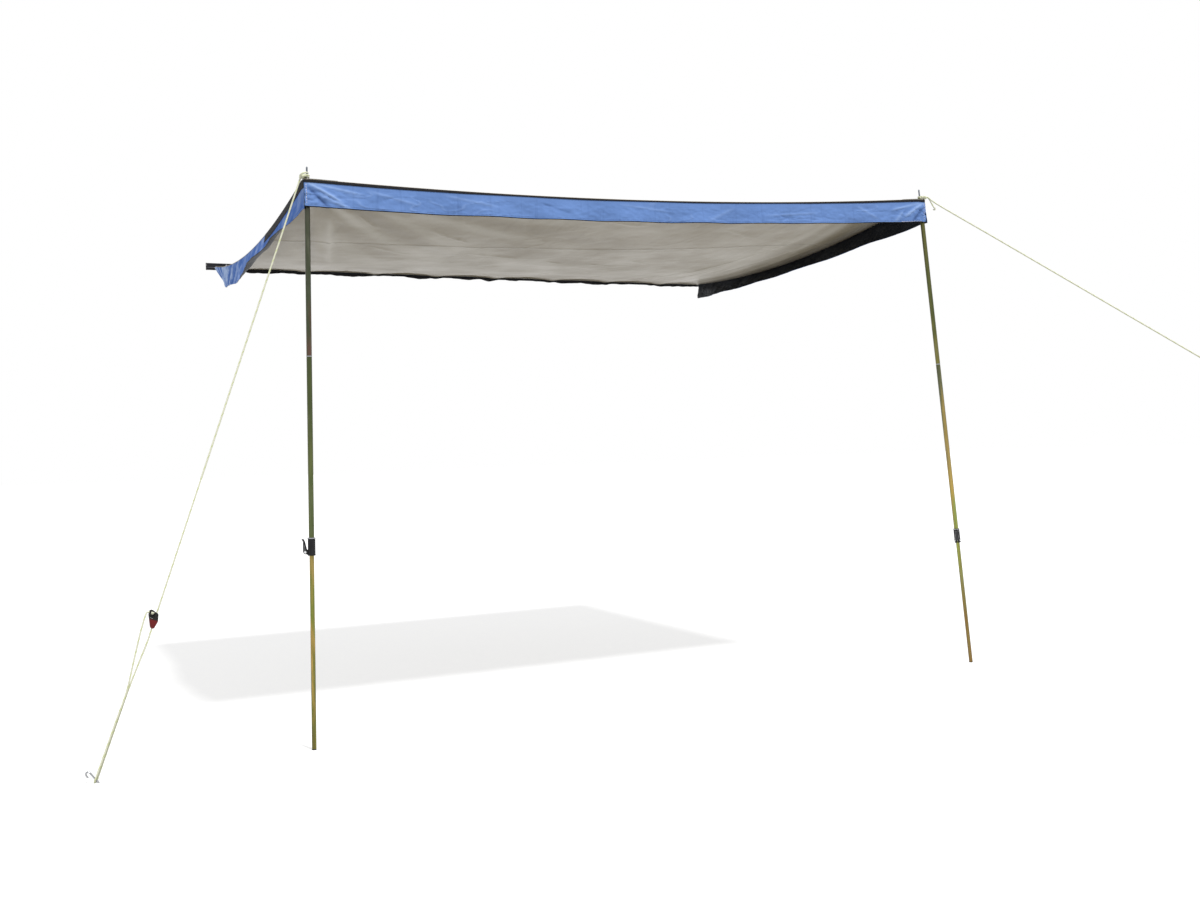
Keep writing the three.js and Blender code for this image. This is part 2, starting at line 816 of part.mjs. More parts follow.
function boltPieces(pivotZ) {
  const seat = slitWidth / 2 + earThickness + gap + leverSteel + gap;
  const shankLength = 2 * seat + nutHeight + boltTail;
  const shank = new THREE.CylinderGeometry(boltRadius, boltRadius, shankLength + boltHeadHeight / 2, pinSides);
  shank.translate(0, seat + boltHeadHeight / 2 - (shankLength + boltHeadHeight / 2) / 2, 0);
  const head = new THREE.CylinderGeometry(boltHeadRadius, boltHeadRadius, boltHeadHeight, hexSides);
  head.translate(0, seat + boltHeadHeight / 2, 0);
  const nut = new THREE.CylinderGeometry(boltHeadRadius, boltHeadRadius, nutHeight, hexSides);
  const thread = new THREE.CylinderGeometry(boltRadius + gap, boltRadius + gap, nutHeight + overrun, pinSides);
  return {
    bolt: join(head, shank).translate(pivotReach, 0, pivotZ),
    nut: cut(nut, thread).translate(pivotReach, -seat - nutHeight / 2, pivotZ),
  };
}

// One pole, drawn upright with its top pin at the eyelet, then leaned to its foot
function makePole(side, foot, earTurn, upperLength, rimDrop) {
  const pivot = eyeletSpot(side);
  const length = foot.distanceTo(pivot);
  const up = pivot.clone().sub(foot).normalize();
  const turn = THREE.MathUtils.degToRad(earTurn);
  const ears = new THREE.Vector3(Math.cos(turn), Math.sin(turn), 0);
  ears.addScaledVector(up, -ears.dot(up)).normalize();
  const group = new THREE.Group();
  group.position.copy(pivot);
  group.quaternion.setFromRotationMatrix(new THREE.Matrix4().makeBasis(ears, up.clone().cross(ears), up));

  const inner = tubeRadius - tubeWall;
  const insert = inner - gap;
  const tubePiece = (outer, wall, top, bottom) => revolve([
    [outer - wall, bottom],
    [outer, bottom],
    [outer, top],
    [outer - wall, top],
  ]);

  place(group, `${side}_spike_pin`, revolve([
    [0, -pinDepth],
    [pinRadius, -pinDepth],
    [pinRadius, pinRise - pinTip],
    [pinRadius - pinTip / 2, pinRise - pinTip / 3],
    [0, pinRise],
  ], pinSides), steel);

  const slope = Math.tan(THREE.MathUtils.degToRad(shoulderSlope));
  const bore = pinRadius + gap;
  const shoulderZ = -shoulderDrop - slope * (tubeRadius - bore - shoulderTop);
  place(group, `${side}_top_plug`, revolve([
    [bore, -shoulderDrop],
    [bore + shoulderTop, -shoulderDrop],
    [tubeRadius, shoulderZ],
    [tubeRadius, -collarDrop],
    [insert, -collarDrop],
    [insert, -plugDrop],
    [bore, -plugDrop],
  ]), blackPlastic);

  const lip = lipHeight / 2;
  place(group, `${side}_upper_tube`, tubePiece(
    tubeRadius, tubeWall, -collarDrop - gap, -upperLength + lip + gap,
  ), yellowZinc);
  place(group, `${side}_joint_sleeve`, revolve([
    [insert - sleeveWall, -upperLength - sleeveReach],
    [insert, -upperLength - sleeveReach],
    [insert, -upperLength - lip],
    [tubeRadius + lipProud, -upperLength - lip],
    [tubeRadius + lipProud, -upperLength + lip],
    [insert, -upperLength + lip],
    [insert, -upperLength + sleeveReach],
    [insert - sleeveWall, -upperLength + sleeveReach],
  ]), steel);
  place(group, `${side}_middle_tube`, tubePiece(
    tubeRadius, tubeWall, -upperLength - lip - gap, -rimDrop - clampSeat + gap,
  ), yellowZinc);

  const pivotZ = -rimDrop - clampLength + pivotRise;
  const { bolt, nut } = boltPieces(pivotZ);
  place(group, `${side}_clamp_body`, clampBody(-rimDrop), blackPlastic);
  place(group, `${side}_clamp_bolt`, bolt, steel);
  place(group, `${side}_clamp_nut`, nut, steel);
  place(group, `${side}_clamp_lever`, leverPiece(pivotZ), steel);

  place(group, `${side}_lower_tube`, tubePiece(
    insert, tubeWall, -rimDrop - clampSeat + lowerOverlap, -length + footThickness + gap,
  ), yellowZinc);
  place(group, `${side}_foot_plug`, revolve([
    [0, -length],
    [insert, -length],
    [insert, -length + footThickness],
    [insert - tubeWall - gap, -length + footThickness],
    [insert - tubeWall - gap, -length + footPlugReach],
    [0, -length + footPlugReach],
  ]), blackPlastic);
  return group;
}

// Knot: a loop round the pin, then a few wraps round the line that leaves it
function ropeKnot(tail) {
  const loopZ = eyeletTopRise + gap + ropeRadius;
  const loop = new THREE.TorusGeometry(ropeLoop, ropeRadius, knotSides, turnSides).translate(0, 0, loopZ);
  const end = ropeStart - gap;
  const core = tube([
    [ropeLoop, 0, loopZ],
    [knotStart - knotPitch / 2, 0, knotLift],
    [end - knotPitch / 2, 0, knotLift],
    [end, 0, knotLift],
  ], ropeRadius, knotSides);
  const wraps = [];
  for (let i = 0; i < knotWraps; i += 1) {
    const wrap = new THREE.TorusGeometry(knotWrap, ropeRadius, knotSides, pinSides).rotateY(Math.PI / 2);
    wraps.push(wrap.translate(knotStart + i * knotPitch, 0, knotLift));
  }
  return join(loop, core, ...wraps, ...(tail ? [tube(tail, ropeRadius, knotSides)] : []));
}

const knotTail = [
  [knotStart, knotWrap, knotLift],
  [knotStart + 2 * knotPitch, 2 * knotWrap, knotLift + ropeRadius],
  [knotStart + 5 * knotPitch, 3 * knotWrap, knotLift - knotPitch],
  [knotStart + 7.5 * knotPitch, 4 * knotWrap, -4 * knotPitch],
  [knotStart + 9.5 * knotPitch, 4.2 * knotWrap, -9 * knotPitch],
];

function knotGroup(side, name, route, tail) {
  const group = new THREE.Group();
  const spot = eyeletSpot(side);
  group.position.copy(spot);
  group.rotation.z = Math.atan2(route[0][1] - spot.y, route[0][0] - spot.x);
  place(group, name, ropeKnot(tail), paleRope);
  return group;
}

// Slider frame: Z up the line, X to the left of it, Y towards the viewer in front
function runnerFrame() {
  const top = new THREE.Vector3(...leftLineTop);
  const exit = new THREE.Vector3(...leftLineExit);
  const up = top.sub(exit).normalize();
  const front = new THREE.Vector3(-up.y, up.x, 0).normalize().negate();
  const group = new THREE.Group();
  group.position.copy(exit);
  group.quaternion.setFromRotationMatrix(new THREE.Matrix4().makeBasis(front.clone().cross(up), front, up));
  return group;
}

function makeRunner() {
  const group = runnerFrame();
  const plate = acrossY(roundedShape([
    [-runnerFoot, 0],
    [runnerFoot, 0],
    [runnerLeft, entryHeight - windowTall / 2],
    [runnerLeft, entryHeight + runnerFoot],
    [runnerLeft - runnerFoot, runnerTop],
    [-runnerFoot, runnerLength],
    [-runnerRight, runnerLength / 2],
  ], runnerCorner), runnerThickness);
  const bore = new THREE.CylinderGeometry(runnerBore, runnerBore, runnerTop + 2 * overrun, pinSides);
  bore.rotateX(Math.PI / 2).translate(0, 0, runnerTop / 2);
  const window = acrossY(roundedShape([
    [windowX - windowWide / 2, entryHeight - windowTall],
    [windowX + windowWide / 2, entryHeight - windowTall],
    [windowX + windowWide / 2, entryHeight + endKnotRadius + gap],
    [windowX - windowWide / 2, entryHeight + endKnotRadius + gap],
  ], runnerCorner), runnerThickness + overrun);
  const entryLength = runnerLeft - windowX + overrun;
  const entry = new THREE.CylinderGeometry(ropeRadius + gap, ropeRadius + gap, entryLength, pinSides);
  entry.rotateZ(Math.PI / 2).translate(windowX + entryLength / 2, 0, entryHeight);
  place(group, 'left_runner', cut(plate, bore, window, entry), redPlastic);

  const stubLength = runnerLeft - windowX;
  const stub = new THREE.CylinderGeometry(ropeRadius, ropeRadius, stubLength, ropeSides);
  stub.rotateZ(Math.PI / 2).translate(windowX + stubLength / 2, 0, entryHeight);
  const lump = new THREE.SphereGeometry(endKnotRadius, 10, 6).translate(windowX, 0, entryHeight);
  place(group, 'left_end_knot', join(stub, lump), paleRope);
  return group;
}

// Peg: round steel with a pointed shaft and a hook that leans away from the pull
function makePeg() {
  const bottom = new THREE.Vector3(...leftRouteEnd[9]);
  const near = new THREE.Vector3(...leftRouteEnd[5]);
  const far = new THREE.Vector3(...leftRouteEnd[13]);
  const inward = near.clone().lerp(far, 0.5).sub(bottom).normalize();
  const apart = near.clone().sub(far);
  const lean = THREE.MathUtils.degToRad(pegLean);
  const away = new THREE.Vector3(-apart.y, apart.x, 0).normalize();
  const up = away.clone().multiplyScalar(Math.sin(lean)).add(lift(Math.cos(lean)));
  const across = Math.sqrt(1 - up.dot(inward) ** 2);
  const spot = bottom.clone().addScaledVector(inward, (ropeRadius + gap + pegRadius) / across);
  const side = new THREE.Vector3().crossVectors(up, away).normalize();
  const group = new THREE.Group();
  group.position.copy(spot);
  group.quaternion.setFromRotationMatrix(new THREE.Matrix4().makeBasis(side.clone().cross(up), side, up));
  const bend = pegShaftUp - pegHook;
  const hook = [[0, 0, -pegShaftDown + pegPoint], [0, 0, -pegShaftDown / 2], [0, 0, 0], [0, 0, bend - pegHook]];
  for (let i = 0; i <= hookSteps; i += 1) {
    const turn = Math.PI - (Math.PI * i) / hookSteps;
    hook.push([pegHook + pegHook * Math.cos(turn), 0, bend + pegHook * Math.sin(turn)]);
  }
  hook.push([2 * pegHook, 0, bend - pegHookTail]);
  const point = new THREE.ConeGeometry(pegRadius, pegPoint, ropeSides).rotateX(-Math.PI / 2);
  point.translate(0, 0, -pegShaftDown + pegPoint / 2);
  place(group, 'left_ground_peg', join(tube(hook, pegRadius, ropeSides), point), steel);
  return group;
}

// End of the right line: wraps and a tied loop
function makeRightEnd() {
  const last = new THREE.Vector3(...rightRoute[rightRoute.length - 1]);
  const before = new THREE.Vector3(...rightRoute[rightRoute.length - 2]);
  const along = last.clone().sub(before).normalize();
  const side = new THREE.Vector3(-along.y, along.x, 0).normalize();
  const group = new THREE.Group();
  group.position.copy(last);
  group.quaternion.setFromRotationMatrix(new THREE.Matrix4().makeBasis(along, side, along.clone().cross(side)));
  const core = tube([
    [gap, 0, 0],
    [knotPitch, 0, 0],
    [2 * knotPitch, 0, 0],
    [4 * knotPitch, 0, 0],
  ], ropeRadius, knotSides);
  const wraps = [];
  for (let i = 0; i < knotWraps + 1; i += 1) {
    const wrap = new THREE.TorusGeometry(knotWrap, ropeRadius, knotSides, pinSides).rotateY(Math.PI / 2);
    wraps.push(wrap.translate((i + 1) * knotPitch, 0, 0));
  }
  const eye = new THREE.TorusGeometry(2 * ropeLoop, ropeRadius, knotSides, turnSides);
  eye.translate(4 * knotPitch + 2 * ropeLoop, 0, 0);
  place(group, 'right_rope_end', join(core, ...wraps, eye), paleRope);
  return group;
}

const leftRoute = [...leftRouteStart, leftLineTop];
for (let i = 1; i < lineSpans; i += 1) {
  leftRoute.push(leftLineTop.map((value, axis) => share(value, leftLineExit[axis], i / lineSpans)));
}
leftRoute.push(leftLineExit, ...leftRouteEnd);

awning.add(makeRail());
awning.add(makeKeder());
awning.add(makeCanopy());
awning.add(makePole(
  'left',
  new THREE.Vector3(leftCornerX - leftFootSpread, leftCornerY - leftFootAhead, groundZ),
  leftEarTurn,
  leftUpperLength,
  leftRimDrop,
));
awning.add(makePole(
  'right',
  new THREE.Vector3(rightCornerX + rightFootSpread, rightCornerY + rightFootBack, groundZ),
  rightEarTurn,
  rightUpperLength,
  rightRimDrop,
));
awning.add(knotGroup('left', 'left_rope_knot', leftRoute, null));
awning.add(knotGroup('right', 'right_rope_knot', rightRoute, knotTail));
place(awning, 'left_guy_rope', tube(leftRoute, ropeRadius), paleRope);
place(awning, 'right_guy_rope', tube(rightRoute, ropeRadius), paleRope);
awning.add(makeRunner());
awning.add(makePeg());
awning.add(makeRightEnd());

export default awning;
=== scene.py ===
import math

import bpy
from mathutils import Matrix, Vector, noise


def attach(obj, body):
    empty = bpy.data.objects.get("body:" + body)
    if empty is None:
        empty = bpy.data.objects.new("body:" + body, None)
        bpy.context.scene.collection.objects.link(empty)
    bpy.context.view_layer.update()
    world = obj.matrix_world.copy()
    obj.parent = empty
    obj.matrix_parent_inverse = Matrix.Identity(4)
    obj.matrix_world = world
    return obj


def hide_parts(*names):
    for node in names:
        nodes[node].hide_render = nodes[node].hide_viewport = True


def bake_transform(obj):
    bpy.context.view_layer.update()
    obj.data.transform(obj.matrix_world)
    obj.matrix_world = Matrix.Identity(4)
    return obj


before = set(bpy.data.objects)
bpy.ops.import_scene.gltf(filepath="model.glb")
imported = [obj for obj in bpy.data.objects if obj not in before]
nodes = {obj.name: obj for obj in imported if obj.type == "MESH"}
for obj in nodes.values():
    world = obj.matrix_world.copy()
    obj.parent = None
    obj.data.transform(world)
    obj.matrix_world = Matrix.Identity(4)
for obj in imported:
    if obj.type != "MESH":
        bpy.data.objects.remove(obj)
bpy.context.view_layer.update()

# Camera and daylight
# A camera low in front of the left end, turned 26 degrees to the right, so that the sagging
# underside, the front cloth and both poles show. The light is plain and soft, as outdoors.
IMAGE_WIDTH = 1200
FOCAL_PIXELS = 1241.25
SENSOR_WIDTH = 36.0
CAMERA_FAR = 400.0
CAMERA_PLACE = Vector((-2.30956, -6.03897, -0.89952))
CAMERA_YAW = math.radians(26.356)
CAMERA_PITCH = math.radians(-0.123)
CAMERA_ROLL = math.radians(1.789)
GROUND_Z = -1.878
FLOOR_HALF = 60.0
FLOOR_GREY = (0.50, 0.50, 0.50)
FLOOR_GLOW = 0.62
WHITE = (1.0, 1.0, 1.0)
SKY_STRENGTH = 0.58
SUN_STRENGTH = 3.1
SUN_SOFTNESS = math.radians(6)
SUN_WAY = (-0.12, 0.47, -0.87)


def placed(spot, *axes):
    """The matrix that puts a piece at a spot, with its X, Y and Z along three given directions."""
    return Matrix.Translation(spot) @ Matrix(axes).transposed().to_4x4()


def look_from(place, yaw, pitch, roll):
    level_right = Vector((math.cos(yaw), -math.sin(yaw), 0.0))
    ahead = Vector((math.sin(yaw) * math.cos(pitch), math.cos(yaw) * math.cos(pitch), math.sin(pitch)))
    level_up = level_right.cross(ahead)
    right = level_right * math.cos(roll) - level_up * math.sin(roll)
    up = level_right * math.sin(roll) + level_up * math.cos(roll)
    return placed(place, right, up, -ahead)


def put_in_scene(name, data):
    made = bpy.data.objects.new(name, data)
    bpy.context.scene.collection.objects.link(made)
    return made


def add_mesh(name, points, faces, corners_uv=None, smooth=True, finish=None):
    """A mesh object from points and faces, with UV corners in face order."""
    mesh = bpy.data.meshes.new(name)
    mesh.from_pydata(points, [], faces)
    if corners_uv is not None:
        layer = mesh.uv_layers.new(name="UVMap")
        for loop, uv in zip(layer.data, corners_uv):
            loop.uv = uv
    mesh.polygons.foreach_set("use_smooth", [smooth] * len(mesh.polygons))
    mesh.update()
    if finish is not None:
        mesh.materials.append(finish)
    return put_in_scene(name, mesh)


def new_node(tree, kind, **settings):
    node = tree.nodes.new(kind)
    for name, value in settings.items():
        setattr(node, name, value)
    return node


def join(tree, value, socket):
    """Links an output to a socket, or sets the socket to a plain value; a colour gets its alpha."""
    if isinstance(value, bpy.types.NodeSocket):
        tree.links.new(value, socket)
    else:
        socket.default_value = (*value, 1.0) if socket.type == "RGBA" else value


def feed(tree, node, **values):
    """Joins outputs or plain values to a node's sockets, each by the socket's own name."""
    for label, value in values.items():
        join(tree, value, node.inputs[label.replace("_", " ")])
    return node


def math_node(tree, operation, *values):
    node = new_node(tree, "ShaderNodeMath", operation=operation)
    for value, socket in zip(values, node.inputs):
        join(tree, value, socket)
    return node.outputs[0]


def seen_directly(tree):
    """1 for rays that come from the eye, from a mirror-like surface or through glass."""
    path = new_node(tree, "ShaderNodeLightPath").outputs
    mirrored = math_node(tree, "MAXIMUM", path["Is Glossy Ray"], path["Is Transmission Ray"])
    return math_node(tree, "MAXIMUM", path["Is Camera Ray"], mirrored)


def new_finish(name, colour, roughness, metallic=0.0, **extras):
    """A material with its Principled shader; extras are values for that shader's sockets."""
    finish = bpy.data.materials.new(name)
    finish.use_nodes = True
    finish.diffuse_color = (*colour, 1.0)
    tree = finish.node_tree
    shader = tree.nodes["Principled BSDF"]
    feed(tree, shader, Base_Color=colour, Roughness=roughness, Metallic=metallic, **extras)
    return finish, tree, shader


camera_lens = bpy.data.cameras.new("camera")
camera_lens.sensor_width = SENSOR_WIDTH
camera_lens.lens = SENSOR_WIDTH * FOCAL_PIXELS / IMAGE_WIDTH
camera_lens.clip_end = CAMERA_FAR
camera = put_in_scene("camera", camera_lens)
camera.matrix_world = look_from(CAMERA_PLACE, CAMERA_YAW, CAMERA_PITCH, CAMERA_ROLL)
bpy.context.scene.camera = camera
bpy.context.scene.view_settings.view_transform = "Standard"

sun_light = bpy.data.lights.new("sun", "SUN")
sun_light.energy = SUN_STRENGTH
sun_light.angle = SUN_SOFTNESS
sun = put_in_scene("sun", sun_light)
sun.rotation_euler = Vector(SUN_WAY).to_track_quat("-Z", "Y").to_euler()

world = bpy.data.worlds.new("sky")
bpy.context.scene.world = world
world.use_nodes = True
sky = world.node_tree
sky.nodes.clear()
sky_mix = new_node(sky, "ShaderNodeMixShader")
join(sky, seen_directly(sky), sky_mix.inputs[0])
for socket, strength in ((sky_mix.inputs[1], SKY_STRENGTH), (sky_mix.inputs[2], 1.0)):
    sky_light = feed(sky, new_node(sky, "ShaderNodeBackground"), Color=WHITE, Strength=strength)
    join(sky, sky_light.outputs[0], socket)
feed(sky, new_node(sky, "ShaderNodeOutputWorld"), Surface=sky_mix.outputs[0])

floor_paint, floor_tree, floor_shader = new_finish("floor_white", FLOOR_GREY, 1.0, Specular_IOR_Level=0.0,
                                                   Emission_Color=WHITE)
floor_glow = math_node(floor_tree, "MULTIPLY", seen_directly(floor_tree), FLOOR_GLOW)
feed(floor_tree, floor_shader, Emission_Strength=floor_glow)
floor_corners = [
    (-FLOOR_HALF, -FLOOR_HALF, GROUND_Z), (FLOOR_HALF, -FLOOR_HALF, GROUND_Z),
    (FLOOR_HALF, FLOOR_HALF, GROUND_Z), (-FLOOR_HALF, FLOOR_HALF, GROUND_Z),
]
add_mesh("floor", floor_corners, [(0, 1, 2, 3)], smooth=False, finish=floor_paint)

# Guy lines
# Braided pale yellow polyester cord, 5.5 mm thick. The left line runs from its knot at the pole pin
# down to the slider, round the ground peg and back up; the right line goes out to the right.
ROPE_RADIUS = 0.00275
BRAID_STEP = 0.0024
BRAID_SIDES = 12
BRAID_RELIEF = 0.045
BRAID_PITCH = 0.006
MILLIMETRE = 0.001
LINE_SPANS = 8

# The routes are in millimetres
left_line_top = (-1337.6, -1872.4, 27)
left_line_exit = (-1856.5, -1922.1, -1422.3)
left_route_start = [
    (-1325.4, -1871.2, 40.2), (-1328.2, -1871.5, 39.9), (-1331.0, -1871.8, 38.8), (-1334.4, -1872.1, 35.0),
]
left_route_end = [
    (-1868.1, -1923.2, -1455.3), (-1900, -1924.2, -1530.8), (-1933.8, -1925.5, -1612),
    (-1965, -1927.4, -1695), (-2008, -1930.1, -1811), (-2028.8, -1931.5, -1867),
    (-2030.3, -1932.3, -1870.2), (-2032.3, -1934.1, -1872.9), (-2034.2, -1936.8, -1874.8),
    (-2036, -1939.9, -1875.4), (-2037.3, -1943, -1874.8), (-2037.9, -1945.5, -1872.9),
    (-2037.7, -1947.2, -1870.2), (-2036.8, -1947.7, -1867), (-2015, -1944.2, -1811),
    (-1970.5, -1938.4, -1695), (-1938.2, -1934.5, -1612), (-1911.5, -1930.5, -1510),
    (-1889.8, -1926.5, -1428), (-1879.0, -1924.8, -1393.5), (-1875.4, -1924.4, -1383),
    (-1873.0, -1924.1, -1376.4), (-1870.6, -1923.8, -1372.6), (-1867.9, -1923.3, -1370.6),
    (-1865.1, -1922.9, -1370.5),
]
right_route = [
    (1298.7, -1936.7, 118), (1302.5, -1940.5, 118.3), (1306.5, -1944.5, 118.1),
    (1311.9, -1949.9, 113.6), (1316.1, -1954.1, 107.2), (1330, -1968, 90.6),
    (1500, -2138, -79.3), (1700, -2338, -279.3), (1900, -2538, -479.3),
    (2040, -2678, -619.2), (2077, -2715, -656.2),
]


def in_metres(points):
    return [Vector(point) * MILLIMETRE for point in points]


def along_curve(points, spacing):
    """Points at equal steps along a centripetal curve through the given ones."""
    guides = [points[0] * 2 - points[1], *points, points[-1] * 2 - points[-2]]
    fine = []
    for p0, p1, p2, p3 in zip(guides, guides[1:], guides[2:], guides[3:]):
        t1 = (p1 - p0).length ** 0.5
        t2 = t1 + (p2 - p1).length ** 0.5
        t3 = t2 + (p3 - p2).length ** 0.5
        pieces = max(2, math.ceil((p2 - p1).length / spacing))
        for step in range(pieces):
            t = t1 + (t2 - t1) * step / pieces
            a1 = p0.lerp(p1, t / t1)
            a2 = p1.lerp(p2, (t - t1) / (t2 - t1))
            a3 = p2.lerp(p3, (t - t2) / (t3 - t2))
            b1 = a1.lerp(a2, t / t2)
            b2 = a2.lerp(a3, (t - t1) / (t3 - t1))
            fine.append(b1.lerp(b2, (t - t1) / (t2 - t1)))
    fine.append(points[-1])
    gone = [0.0]
    for here, after in zip(fine, fine[1:]):
        gone.append(gone[-1] + (after - here).length)
    count = max(2, round(gone[-1] / spacing))
    even = []
    cell = 0
    for step in range(count + 1):
        reach = gone[-1] * step / count
        while cell < len(fine) - 2 and gone[cell + 1] < reach:
            cell += 1
        even.append(fine[cell].lerp(fine[cell + 1], (reach - gone[cell]) / (gone[cell + 1] - gone[cell])))
    return even


def around(radius, turn):
    """The two coordinates of a spot on a circle."""
    return radius * math.cos(turn), radius * math.sin(turn)


def swept(path, radius, sides, relief=0.0):
    """Points, faces and UV of a round bar along a path; the UV is in metres along and turns around."""
    points, faces, corners = [], [], []
    ahead = (path[1] - path[0]).normalized()
    side = ahead.orthogonal().normalized()
    reaches = [0.0]
    for i, spot in enumerate(path):
        before, after = path[max(0, i - 1)], path[min(len(path) - 1, i + 1)]
        ahead = (after - before).normalized()
        side = (side - ahead * side.dot(ahead)).normalized()
        up = ahead.cross(side)
        if i:
            reaches.append(reaches[-1] + (spot - path[i - 1]).length)
        for k in range(sides):
            x, y = around(1.0, 2 * math.pi * k / sides)
            swell = radius * (1 + relief * (1 if (i + k) % 2 else -1))
            points.append(spot + (side * x + up * y) * swell)
    for i in range(len(path) - 1):
        for k in range(sides):
            k2 = (k + 1) % sides
            faces.append((i * sides + k, i * sides + k2, (i + 1) * sides + k2, (i + 1) * sides + k))
            corners += [(reaches[i], k / sides), (reaches[i], (k + 1) / sides),
                        (reaches[i + 1], (k + 1) / sides), (reaches[i + 1], k / sides)]
    last = (len(path) - 1) * sides
    faces.append(tuple(reversed(range(sides))))
    faces.append(tuple(range(last, last + sides)))
    corners += [(0.0, k / sides) for k in range(2 * sides)]
    return points, faces, corners


def gathered(bars):
    """Several swept bars as one set of points, faces and UV."""
    points, faces, corners = [], [], []
    for bar_points, bar_faces, bar_corners in bars:
        start = len(points)
        points += bar_points
        faces += [tuple(start + corner for corner in face) for face in bar_faces]
        corners += bar_corners
    return points, faces, corners


def new_group(name, inputs, outputs):
    """An empty shader group whose inputs are named with their first values: numbers or vectors."""
    tree = bpy.data.node_groups.new(name, "ShaderNodeTree")
    for label, value in inputs.items():
        kind = "NodeSocketVector" if isinstance(value, tuple) else "NodeSocketFloat"
        tree.interface.new_socket(label, in_out="INPUT", socket_type=kind).default_value = value
    for label in outputs:
        tree.interface.new_socket(label, in_out="OUTPUT", socket_type="NodeSocketFloat")
    return tree, new_node(tree, "NodeGroupInput").outputs, new_node(tree, "NodeGroupOutput")


def place_group(tree, group, **values):
    return feed(tree, new_node(tree, "ShaderNodeGroup", node_tree=group), **values).outputs


def noise_node(tree, vector, scale, detail, roughness=0.5):
    node = new_node(tree, "ShaderNodeTexNoise")
    return feed(tree, node, Vector=vector, Scale=scale, Detail=detail, Roughness=roughness).outputs[0]


def spread(tree, value, low, high, to_low=0.0, to_high=1.0):
    """Turns the range from low to high into another one, and holds what lies past it at its ends."""
    node = new_node(tree, "ShaderNodeMapRange", clamp=True)
    feed(tree, node, Value=value, From_Min=low, From_Max=high, To_Min=to_low, To_Max=to_high)
    return node.outputs["Result"]


def mix_colours(tree, share, first, second):
    node = new_node(tree, "ShaderNodeMix", data_type="RGBA")
    for value, number in ((share, 0), (first, 6), (second, 7)):
        join(tree, value, node.inputs[number])
    return node.outputs[2]


def add_bump(tree, shader, height, distance, strength):
    bump = feed(tree, new_node(tree, "ShaderNodeBump"), Height=height, Distance=distance, Strength=strength)
    feed(tree, shader, Normal=bump.outputs["Normal"])


def braid_group():
    """Two sets of strands that cross: their height and a mask of the few that carry a tracer."""
    tree, start, end = new_group("braid", {"UV": (0.0, 0.0, 0.0), "Pitch": BRAID_PITCH, "Strands": 6.0},
                                 ("Height", "Tracer"))
    parts = feed(tree, new_node(tree, "ShaderNodeSeparateXYZ"), Vector=start["UV"]).outputs
    along = math_node(tree, "DIVIDE", parts["X"], start["Pitch"])
    turned_by = math_node(tree, "MULTIPLY", parts["Y"], start["Strands"])
    heights = [math_node(tree, "PINGPONG", math_node(tree, way, along, turned_by), 0.5)
               for way in ("ADD", "SUBTRACT")]
    one_strand = math_node(tree, "SUBTRACT", math_node(tree, "DIVIDE", along, start["Strands"]), parts["Y"])
    tracer = math_node(tree, "GREATER_THAN", math_node(tree, "PINGPONG", one_strand, 0.5), 0.42)
    feed(tree, end, Height=math_node(tree, "MULTIPLY", *heights), Tracer=tracer)
    return tree


rope_finish, rope_tree, rope_shader = new_finish("pale_yellow_rope", (0.80, 0.80, 0.63), 0.75,
                                                 Sheen_Weight=0.2, Sheen_Roughness=0.4)
rope_spot = new_node(rope_tree, "ShaderNodeTexCoord").outputs
rope_braid = place_group(rope_tree, braid_group(), UV=rope_spot["UV"])
rope_tone = mix_colours(rope_tree, rope_braid["Tracer"], (0.81, 0.81, 0.65), (0.56, 0.64, 0.18))
# Between the strands the rope is painted darker: painted shade in the gaps of the braid.
rope_crest_vs_gap_shade = spread(rope_tree, rope_braid["Height"], 0.0, 0.09)
rope_tone = mix_colours(rope_tree, rope_crest_vs_gap_shade, (0.50, 0.51, 0.35), rope_tone)
rope_fleck = spread(rope_tree, noise_node(rope_tree, rope_spot["Object"], 900.0, 2.0), 0.56, 0.75)
feed(rope_tree, rope_shader, Base_Color=mix_colours(rope_tree, rope_fleck, rope_tone, (0.67, 0.67, 0.48)))
add_bump(rope_tree, rope_shader, rope_braid["Height"], 0.0006, 0.8)


def rope(name, path):
    return add_mesh(name, *swept(path, ROPE_RADIUS, BRAID_SIDES, BRAID_RELIEF), finish=rope_finish)


def hand_over(piece, body, cad_node=None):
    """Names the body that a piece rides on and the CAD node that it replaces, if any."""
    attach(piece, body)
    if cad_node:
        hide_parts(cad_node)


left_points = [*left_route_start, left_line_top]
left_points += [
    tuple(top + (low - top) * span / LINE_SPANS for top, low in zip(left_line_top, left_line_exit))
    for span in range(1, LINE_SPANS)
]
left_points += [left_line_exit, *left_route_end]
left_whole = along_curve(in_metres(left_points), BRAID_STEP)
right_path = along_curve(in_metres(right_route), BRAID_STEP)
# The strand from the peg back up to the slider is a piece of its own, so that it follows the slider
turn_end, plate_foot = in_metres([left_route_end[13], left_route_end[18]])
turn_index = min(range(len(left_whole)), key=lambda i: (left_whole[i] - turn_end).length)
left_path, return_path = left_whole[:turn_index + 1], left_whole[turn_index:]
left_rope = rope("left_rope", left_path)
return_strand = rope("left_return_strand", return_path)
right_rope = rope("right_rope", right_path)
hand_over(left_rope, "left_guy", "left_guy_rope")
hand_over(right_rope, "right_guy", "right_guy_rope")
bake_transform(return_strand)

